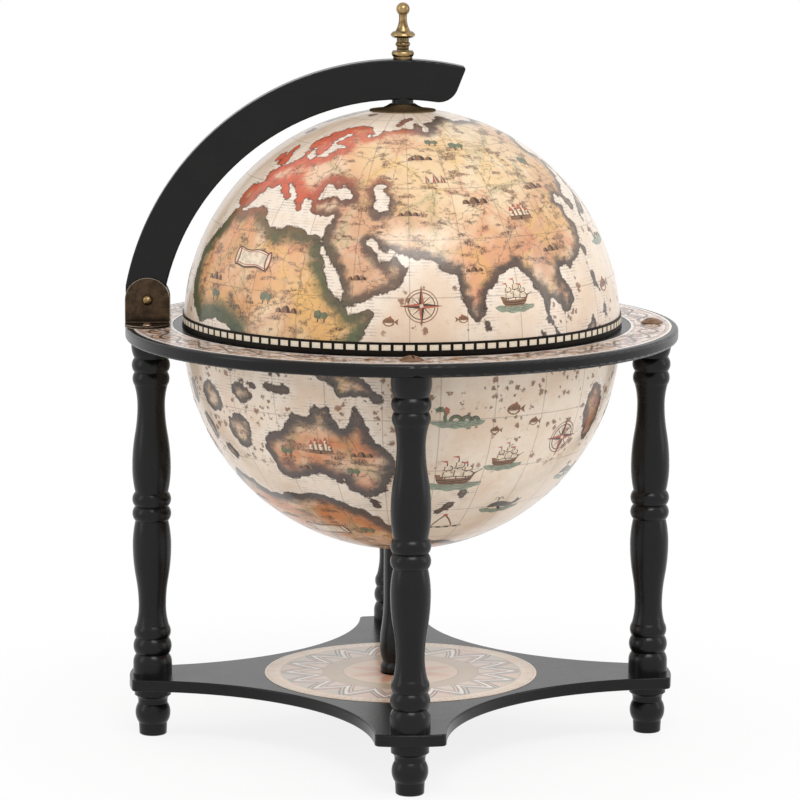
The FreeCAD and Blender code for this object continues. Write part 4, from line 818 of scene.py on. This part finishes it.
def tents(draw):
    """Camp of striped tents."""
    for x, size in ((-1.7, 0.8), (1.6, 0.9), (0, 1.2)):
        side = [(x + size, -0.8), (x + 0.75 * size, 0.1), (x, 1.6 * size)]
        draw.shape("pale", [(x - size, -0.8), *side, (x - 0.75 * size, 0.1)])
        draw.shape("red", [(x - 0.3 * size, -0.8), (x + 0.3 * size, -0.8), (x, 1.4 * size)])
        draw.shape("sepia", [(x + 0.5 * size, -0.8), *side])
    draw.line("dark", "-2.8,-0.85 0,-0.95 2.8,-0.85", 0.2, 0.3, 0.3)


def scroll(draw):
    """Empty ribbon scroll with rolled ends and a line border."""
    top = [(x, 1.7 + 0.22 * math.sin(x)) for x in np.linspace(-4.4, 4.4, 13)]
    low = [(x, -1.7 + 0.22 * math.sin(x)) for x in np.linspace(4.4, -4.4, 13)]
    draw.shape("sepia", [(x + 0.3, y - 0.3) for x, y in top + low])
    draw.shape("pale", top + low)
    for line in (top, low):
        draw.line("dark", line, 0.22)
        draw.line("red", [(0.9 * x, 0.78 * y) for x, y in line], 0.16)
    for side in (-1, 1):
        draw.shape("red", arc(4.4 * side, 0.1, 0.62, 0, 345, 20, 3.0))
        draw.shape("pale", arc(4.4 * side, 0.1, 0.34, 0, 345, 16, 4.4))
        for half in (0, 180):
            draw.line("dark", arc(4.4 * side, 0.1, 0.62, half, half + 180, 16, 3.0), 0.16)


def dividers(draw):
    """Pair of dividers standing on a bar of light and dark divisions."""
    for index in range(10):
        x = 0.8 * (index - 5)
        draw.shape(("dark", "pale")[index % 2], box(x, -2, x + 0.8, -1.6))
    draw.line("dark", "-4,-1.55 0,-1.55 4,-1.55", 0.12)
    draw.line("dark", "-4,-2.05 0,-2.05 4,-2.05", 0.12)
    for side in (-1, 1):
        draw.line("sepia", points("0.15,2.4 0.9,1.2 1.5,-0.2 1.9,-1.5") * (side, 1), 0.36, 1.0, 0.3)
        draw.line("dark", points("0.3,2.3 1.05,1.1 1.62,-0.2 1.95,-1.4") * (side, 1), 0.12)
    draw.shape("red", arc(0, 2.6, 0.45, 0, 330, 12))


# Places of the figures on each half: longitude, latitude, size and, where they have one, turn and side.
UPPER_FIGURES = {
    rose: "63,13,1.25 -146,30,1.6",
    ship: "88.5,13.5,1.2 152,34,1.4 -172,20,1.4,0,-1 -46,40,1.5 -28,12,1.1,0,-1",
    fish: "127,14,1.1,10 55,9,0.75 73.5,9.5,0.65,0,-1 -130,14,1.2 150,14,1.0",
    scroll: "12,23,1.3,-3 -60,13.5,1.1",
    town: "98,36,1.2 -104,38,1.3",
    tents: "70,48,1.2 -100,54,1.2",
    hills: """83,41,1.2 60,37.5,0.9 66,56,1.1 112,44,1.2 27,11,1.1 46,20,0.8 78,22,0.8 105,26,1.0
        -112,46,1.3 -2,17,1.1 140,64,1.2""",
    tree: "87,60,1.2 74,62,1.0 120,52,1.1 37,9.5,1.1 20,13,1.1 -92,46,1.2 -116,58,1.2 0,12,1.1",
    serpent: "136,26,1.1 -66,30,1.4",
    whale: "172,44,1.4 -40,22,1.4",
}
LOWER_FIGURES = {
    ship: "171,-33,1.6 186,-28,1.2 76,-30,1.1 240,-22,1.4,0,-1 -20,-18,1.4 58,-34,1.4",
    rose: "206,-23,1.35 262,-34,1.5",
    whale: "194,-45,1.4 222,-36,1.3 -16,-38,1.5",
    serpent: "170,-15,1.25 238,-46,1.3 68,-18,1.2",
    fish: "186,-13,1.0 193,-17,0.7 181,-18.5,0.65 159,-41,0.9 252,-14,1.1 0,-20,1.1 62,-44,0.9",
    dividers: "172,-51,1.4 -38,-47,1.4",
    scroll: "118,-57,1.3,4 24,-47,1.2",
    town: "132,-24,1.2 -62,-14,1.2",
    tree: "121,-26,1.0 141,-31,1.0 140,-56,1.2 78,-49,1.1 -52,-10,1.1 -60,-31,1.1 22,-14,1.1",
    hills: "144,-25,1.0 126,-30,0.8 100,-52,1.2 88,-46,1.2 -66,-24,1.2 28,-24,1.1",
    tents: "20,-26,1.0",
}


def ink_material(name, colour):
    """Varnished ink, uneven as on old paper."""
    g = Graph("ink_" + name, **VARNISH)
    blot = g.noise(g.place(), 4 * MM, 3.0, 0.6)
    light, dark = ([min(255, round(share * value)) for value in colour] for share in (1.06, 0.9))
    g.set(base_color=g.blend(blot.step(0.3, 0.7), light, dark))
    return g.owner


def map_material(name, centre, front, isle_share):
    """The varnished map print: sea, washes, hills, rivers, borders, islets and graticule."""
    g = Graph(name, **VARNISH)
    place = g.vector("SUBTRACT", g.place(), (0, 0, centre))
    spot = g.scaled(place, DEGREES / GLOBE_RADIUS)
    x, y, z = g.parts(g.vector("NORMALIZE", place))
    lat = g.math("ARCSINE", z) * DEGREES
    lon = g.math("ARCTAN2", x, 0 - y) * DEGREES + front
    broad = g.noise(spot, 16.0, 3.0, 0.6)
    fine = g.noise(spot, 2.2, 4.0, 0.6)
    grain = g.noise(spot, 0.35)
    shore = g.attribute("land", "Fac") + (g.noise(spot, 4.0, 4.0, 0.64) - 0.5) * COAST_WIGGLE
    near_shore = shore.step(-3.4, -0.2)

    hatch = lat.wave(SEA_HATCH).step(0.2, 0.08) * near_shore * fine.step(0.44, 0.56)
    isle = g.cells(spot, ISLE_CELL)
    isle_size = g.parts(isle["Color"])[0]
    ragged = (g.noise(spot, 0.7, 3.0, 0.6) - 0.5) * 2.2
    isle_gap = isle["Distance"] * ISLE_CELL - isle_size * 0.9 + ragged
    clustered = g.noise(isle["Position"], 9.0, 1.0).step(1.0 - isle_share, 1.015 - isle_share)
    isles = isle_gap.step(0.25, -0.15) * clustered * shore.step(-0.6, -1.2) * abs(lat).step(36.0, 26.0)
    sea = g.layers(
        g.blend(broad.step(0.38, 0.66), (250, 233, 213), (240, 214, 188)),
        (fine.step(0.52, 0.74) * 0.45, (226, 196, 168)),
        (near_shore * 0.35, (250, 242, 232)),
        (hatch * 0.5, (150, 128, 112)),
        (isles * 0.9, g.blend(isle_size, (80, 66, 58), (150, 104, 76))))

    country = g.parts(g.cells(spot, COUNTRY_CELL)["Color"])[0]
    country_wash = g.layers(
        g.blend(country.step(0.3, 0.36), (224, 136, 102), (170, 160, 104)),
        (country.step(0.62, 0.68), (242, 196, 108)))
    border = g.cell_edge(g.bent(spot, 0.4, 2.0, 4.0), BORDER_CELL)
    river = g.cell_edge(g.bent(spot, 0.7, 3.0, 2.4), RIVER_CELL)
    ranges = g.noise(g.vector("MULTIPLY", spot, (1.0, 1.0, 2.3)), 4.6, 3.0, 0.58).step(0.52, 0.66)
    pens = g.noise(g.vector("MULTIPLY", spot, (3.4, 3.4, 1.2)), 1.3, 2.0, 0.6).step(0.47, 0.58)
    edge_wash = g.tint(fine.step(0.42, 0.6) * 0.4, g.attribute("edge", "Color"), (190, 176, 160))
    edge_place = (shore + (fine - 0.5) * 3.4) / g.attribute("edge_width", "Fac")
    body = g.layers(
        g.attribute("inland", "Color"),
        (broad.step(0.42, 0.62) * 0.55, (250, 232, 202)),
        (fine.step(0.5, 0.68) * 0.4, (216, 166, 126)),
        (border.step(1.8, 0.2) * 0.35, country_wash),
        (border.step(0.16, 0.05) * 0.4, (110, 76, 58)),
        (ranges * 0.6, (146, 102, 72)),
        (ranges * pens * 0.85, (78, 58, 48)),
        (fine.step(0.6, 0.7) * pens * 0.5, (112, 76, 56)),
        (river.step(0.15, 0.05) * 0.5, (90, 72, 62)),
        (edge_place.step(1.15, 0.3) * 0.92, edge_wash))

    parallels = lat.wave(GRATICULE).step(0.17, 0.08)
    meridians = (lon.wave(GRATICULE) * g.math("COSINE", lat / DEGREES)).step(0.17, 0.08)
    paper = g.blend(shore.step(-0.08, 0.08), sea, body)
    paper = g.tint(abs(shore).step(0.34, 0.1) * 0.75, paper, (126, 106, 92))
    paper = g.blend(parallels.most(meridians) * 0.4, paper, (112, 88, 70))
    paper = g.tint(grain.step(0.3, 0.7) * 0.2, paper, (228, 216, 204))
    return g.material(paper, grain, 0.06 * MM, 0.25)


def lining_material():
    """Aged paper inside the globe halves."""
    g = Graph("lining", roughness=0.6, specular_ior_level=0.3)
    spot = g.place()
    age = g.noise(spot, 50 * MM, 4.0, 0.6)
    spots = g.noise(spot, 6 * MM, 3.0, 0.6)
    paper = g.blend(age.step(0.35, 0.65), (238, 220, 188), (218, 190, 148))
    paper = g.blend(spots.step(0.6, 0.72) * 0.5, paper, (176, 140, 98))
    return g.material(paper, g.noise(spot, 1.5 * MM, 3.0), 0.1 * MM, 0.4)


def black_wood(name, along):
    """Smooth black lacquer over turned or sawn wood, with its grain showing faintly along one axis."""
    g = Graph(name, specular_ior_level=0.25)
    spot = g.place()
    stretch = [1.0, 1.0, 1.0]
    stretch[along] = 0.06
    grain = g.noise(g.vector("MULTIPLY", spot, stretch), 1.1 * MM, 3.0, 0.6)
    cloud = g.noise(spot, 30 * MM, 3.0, 0.6)
    colour = g.layers(
        g.blend(grain.step(0.35, 0.7), (13, 13, 13), (18, 17, 17)),
        (cloud.step(0.45, 0.75) * 0.5, (22, 21, 20)),
        (g.edge_strip(0.8 * MM) * 0.3, (70, 66, 62)))
    return g.material(colour, grain, 0.1 * MM, 0.1, roughness=cloud * 0.08 + 0.23)


def aged_metal(name, bright, dull, stain_and_shade, wear_and_highlight, rough, groove_shade_reach=6 * MM, low_angle=(255, 255, 255)):
    """Cast or turned metal with dull clouds, stains, grooves darkened as stain and painted shade, and pale
    edges of wear and painted highlight.
    """
    g = Graph(name, metallic=1.0, specular_tint=srgb(*low_angle))
    spot = g.place()
    cloud = g.noise(spot, 6 * MM, 4.0, 0.62)
    speck = g.noise(spot, 1 * MM, 3.0, 0.6)
    # Ambient occlusion darkens grooves, hollows and joins with the stain colour: partly stain, partly
    # painted shade.
    groove_shade = g.out("AmbientOcclusion", "AO", {"Distance": groove_shade_reach}, samples=8).step(0.97, 0.66)
    colour = g.layers(
        g.blend(cloud.step(0.35, 0.68), bright, dull),
        (speck.step(0.56, 0.72) * 0.6, stain_and_shade),
        (groove_shade * 0.96, stain_and_shade),
        # Pale edges: partly edge wear, partly a painted highlight along rims and folds.
        (g.edge_strip(1.2 * MM) * 0.85, wear_and_highlight))
    return g.material(colour, speck, 0.1 * MM, 0.35, roughness=cloud * 0.3 + rough)


def zinc_steel():
    """Zinc-plated steel of the hidden screws, studs and washers."""
    g = Graph("steel", metallic=1.0)
    spot = g.place()
    cloud = g.noise(spot, 4 * MM, 3.0, 0.6)
    colour = g.blend(cloud.step(0.35, 0.7), (186, 188, 190), (150, 152, 154))
    return g.material(colour, g.noise(spot, 0.6 * MM), 0.05 * MM, 0.3, roughness=cloud * 0.3 + 0.2)


def stained_board():
    """Dark stained and lacquered board for the tray, floor and pole block."""
    g = Graph("inner_board", specular_ior_level=0.4, coat_weight=0.2, coat_roughness=0.25)
    along = g.vector("MULTIPLY", g.place(), (0.07, 1.0, 1.0))
    ring = g.noise(along, 4 * MM, 4.0, 0.65)
    pore = g.noise(along, 0.7 * MM)
    wood = g.blend(ring.step(0.35, 0.68), (84, 46, 28), (124, 74, 44))
    colour = g.blend(pore.step(0.58, 0.72) * 0.6, wood, (48, 26, 17))
    return g.material(colour, pore, 0.1 * MM, 0.4, roughness=ring * 0.2 + 0.3)


def band_material():
    """Black equator band with a row of cream blocks, each with a faint line inside its edge."""
    g = Graph("band", roughness=0.42, specular_ior_level=0.12)
    radius, turn, height = g.polar()
    globe = GLOBE_RADIUS / MM
    middle = band_low.z / MM + BAND_BLOCK_FOOT + BAND_BLOCK_HEIGHT / 2
    aside = (turn * BAND_BLOCKS).wave(1.0) - BAND_BLOCK_SHARE / 2
    above = (abs(height - middle) - BAND_BLOCK_HEIGHT / 2) * (BAND_BLOCKS / math.tau / globe)
    edge = aside.most(above)
    block = edge.step(0.02, -0.02) * radius.step(globe, globe + 0.3)
    cloud = g.noise(g.place(), 4 * MM, 3.0, 0.6)
    mottle = cloud.step(0.35, 0.7)
    cream = g.blend(mottle, (255, 246, 226), (254, 238, 210))
    cream = g.blend(edge.near(-0.1, 0.015, 0.02) * 0.3, cream, (206, 150, 124))
    colour = g.blend(block, g.blend(mottle, (18, 13, 9), (30, 22, 16)), cream)
    return g.material(colour, cloud, 0.05 * MM, 0.3)


def ring_print():
    """Printed table ring: border lines, a block scale and a band of scrolling leaves."""
    g = Graph("ring_print", roughness=0.3, specular_ior_level=0.3, coat_weight=0.35, coat_roughness=0.12)
    spot = g.scaled(g.place(), 1 / MM)
    radius, turn = g.polar()[:2]
    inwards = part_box("ring_print")[1].x / MM - radius
    cloud = g.noise(spot, 14.0, 3.0, 0.6)
    fine = g.noise(spot, 1.6, 3.0, 0.6)
    patch = g.noise(spot, 20.0)
    swing = g.math("SINE", turn * (RING_STEM_WAVES * math.tau)) * RING_STEM_SWING
    stem = abs(inwards + swing - RING_STEM_MIDDLE)
    stems = stem.least(abs(inwards - swing - RING_STEM_MIDDLE))
    cells = g.cells(spot, RING_LEAF_CELL)
    kind, shown = g.parts(cells["Color"])[:2]
    leaves = cells["Distance"].step(0.5, 0.36) * stems.step(9.5, 7.5) * shown.step(0.34, 0.42)
    leaf = g.layers(
        g.blend(kind.step(0.3, 0.36), (146, 70, 40), (100, 84, 52)),
        (kind.step(0.55, 0.6), (196, 130, 54)),
        (kind.step(0.76, 0.8), (66, 42, 32)))
    veins = g.cell_edge(spot, RING_LEAF_CELL).step(0.91, 0.35) * stem.step(10.0, 8.0) * fine.step(0.42, 0.55)
    scale = (turn * RING_SCALE_BLOCKS).wave(1.0).step(0.27, 0.23) * inwards.near(*RING_SCALE, 0.12)
    paper = g.layers(
        g.blend(cloud.step(0.35, 0.68), (246, 230, 220), (234, 208, 192)),
        (patch.step(0.5, 0.58) * 0.5, (194, 136, 78)),
        (patch.step(0.43, 0.36) * 0.45, (160, 112, 88)),
        (leaves * 0.85, leaf),
        (veins * 0.9, (54, 30, 20)),
        (stems.step(1.5, 1.0) * 0.9, (56, 34, 24)),
        *((inwards.near(middle, half, 0.12) * 0.9, colour) for middle, half, colour in RING_LINES),
        (scale * 0.7, (120, 78, 60)),
        (fine.step(0.6, 0.75) * 0.3, (170, 130, 108)))
    return g.material(paper, fine, 0.05 * MM, 0.3)


def shelf_print():
    """Printed shelf disc: a pale border, a wheel of grey rays, a taupe ring and a peach middle."""
    g = Graph("shelf_print", roughness=0.3, specular_ior_level=0.45, coat_weight=0.3, coat_roughness=0.12)
    spot = g.scaled(g.place(), 1 / MM)
    radius, turn = g.polar()[:2]
    cloud = g.noise(spot, 16.0, 3.0, 0.6)
    fine = g.noise(spot, 1.8, 3.0, 0.6)
    wheel = radius.near(*WHEEL, 0.4)
    rays = radius - RAY_FOOT - (turn * WHEEL_RAYS).wave(1.0) * RAY_RISE
    ray_tint = g.blend(g.noise(spot, 22.0, 1.0).step(0.46, 0.54), (224, 178, 152), (176, 178, 158))
    petals = radius / PEACH_RADIUS - 0.35 - (turn * PETALS).wave(1.0) * 1.2
    flower = petals.step(0.06, -0.06) * radius.step(PEACH_RADIUS, PEACH_RADIUS - 1.0)
    scale = (turn * SHELF_SCALE_BLOCKS).wave(1.0).step(0.27, 0.22) * radius.near(*SHELF_SCALE, 0.2)
    paper = g.layers(
        g.blend(cloud.step(0.35, 0.68), (238, 218, 196), (228, 200, 172)),
        (wheel * 0.6, (224, 208, 196)),
        (wheel * rays.step(-0.5, 0.5) * 0.5, ray_tint),
        *((wheel * rays.near(middle, half, 0.5) * 0.85, colour) for middle, half, colour in RAY_LINES),
        (radius.near(*TAUPE_RING, 0.4) * 0.75, (190, 170, 142)),
        (radius.step(PEACH_RADIUS + 0.4, PEACH_RADIUS) * 0.6, (238, 206, 176)),
        (flower * 0.6, (226, 150, 116)),
        *((radius.near(middle, half, 0.2) * 0.5, SHELF_LINE_COLOUR) for middle, half in SHELF_LINES),
        (scale * 0.25, (150, 120, 100)),
        (fine.step(0.58, 0.74) * wheel * 0.35, (150, 122, 104)))
    return g.material(paper, fine, 0.05 * MM, 0.3)


def floor():
    """Pale floor, which is plain white where it is seen far from the object."""
    g = Graph("floor", roughness=0.9, specular_ior_level=0.0, base_color=srgb(250, 250, 250))
    start, end = FLOOR_FADE
    white = g.polar()[0].step(start / MM, end / MM) * (1.0 - FLOOR_GLOW) + FLOOR_GLOW
    glow = g.out("Emission", 0, {"Color": (1, 1, 1, 1), "Strength": 1.0})
    mixed = g.add("MixShader", {0: white * g.seen(), 1: Wire(g, g.shader.outputs[0]), 2: glow})
    g.tree.links.new(mixed.outputs[0], g.tree.nodes["Material Output"].inputs["Surface"])
    mesh = bpy.data.meshes.new("floor")
    corners = [(x, y, 0) for x, y in box(-FLOOR_REACH, -FLOOR_REACH, FLOOR_REACH, FLOOR_REACH)]
    mesh.from_pydata(corners, [], [(0, 1, 2, 3)])
    mesh.materials.append(g.owner)
    plane = placed("floor", mesh)


def sky():
    """White where it is seen or mirrored; the light it gives is softer, and less from the front."""
    g = Graph("studio", "worlds", "Background", color=(1, 1, 1, 1))
    back = g.parts(g.out("TexCoord", "Generated"))[1]
    light = g.out("MapRange", 0, {"Value": back, **SKY_LIGHT})
    g.set(strength=light.most(g.seen()))
    scene.world = g.owner


def look(place, target):
    """The turn that points a lamp or camera from one place at another."""
    return (Vector(target) - Vector(place)).to_track_quat("-Z", "Y")


def lamp(name, place, size, power):
    """Soft rectangular lamp aimed at the globe."""
    data = bpy.data.lights.new(name, "AREA")
    data.shape = "RECTANGLE"
    data.size, data.size_y = size
    data.energy = power
    light = placed(name, data)
    light.location = place
    light.rotation_euler = look(place, LAMP_AIM).to_euler()


def photograph_camera():
    """Camera at the photograph's viewing angle."""
    data = bpy.data.cameras.new("camera")
    for key, value in CAMERA_OPTICS.items():
        setattr(data, key, value)
    camera = placed("camera", data)
    tilt, turn = math.radians(CAMERA_ELEVATION), math.radians(CAMERA_AZIMUTH)
    away = Vector((math.cos(tilt) * math.sin(turn), -math.cos(tilt) * math.cos(turn), math.sin(tilt)))
    camera.location = Vector(CAMERA_TARGET) + CAMERA_DISTANCE * away
    roll = Quaternion((0, 0, 1), math.radians(CAMERA_ROLL))
    camera.rotation_euler = (look(camera.location, CAMERA_TARGET) @ roll).to_euler()
    scene.camera = camera


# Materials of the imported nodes.
metals = {name: aged_metal(name, *finish) for name, finish in METALS.items()}
upright_wood = black_wood("black_wood_upright", 2)
board_wood = black_wood("black_wood_board", 0)
by_slot = {**metals, "steel": zinc_steel(), "inner_board": stained_board(), "band": band_material()}
by_node = {"ring_print": ring_print(), "shelf_print": shelf_print(), "pole_flange": metals["bright_bronze"],
           **dict.fromkeys(BOARDS, board_wood)}
for part in frame["record"]["subparts"]:
    material = by_node.get(part["node"]) or by_slot.get(part["material_slot"]) or upright_wood
    for holder in frame["nodes"][part["node"]].material_slots:
        holder.material = material

# The globe's two halves, with the map and its figures.
lining = lining_material()
inks = {name: ink_material(name, colour) for name, colour in INKS.items()}
for name, node, body, upper, centre, front, isle_share, places in (
        ("upper", "upper_dome", "dome", True, DOME_CENTRE, DOME_FRONT, DOME_ISLES, UPPER_FIGURES),
        ("lower", "lower_bowl", "stand", False, BOWL_CENTRE, BOWL_FRONT, BOWL_ISLES, LOWER_FIGURES)):
    print_material = map_material(name + "_map", centre, front, isle_share)
    half = globe_half("globe_" + name, upper, front, [print_material, lining])
    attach(half, body)
    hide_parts(node)
    figures = Figures(centre, front)
    for figure, spots in places.items():
        for spot in spots.split():
            figure(figures.at(*(float(value) for value in spot.split(","))))
    drawn = figures.build("figures_" + name, inks)
    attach(drawn, body)

floor()
sky()
for name, (place, size, power) in LAMPS.items():
    lamp(name, place, size, power)
photograph_camera()
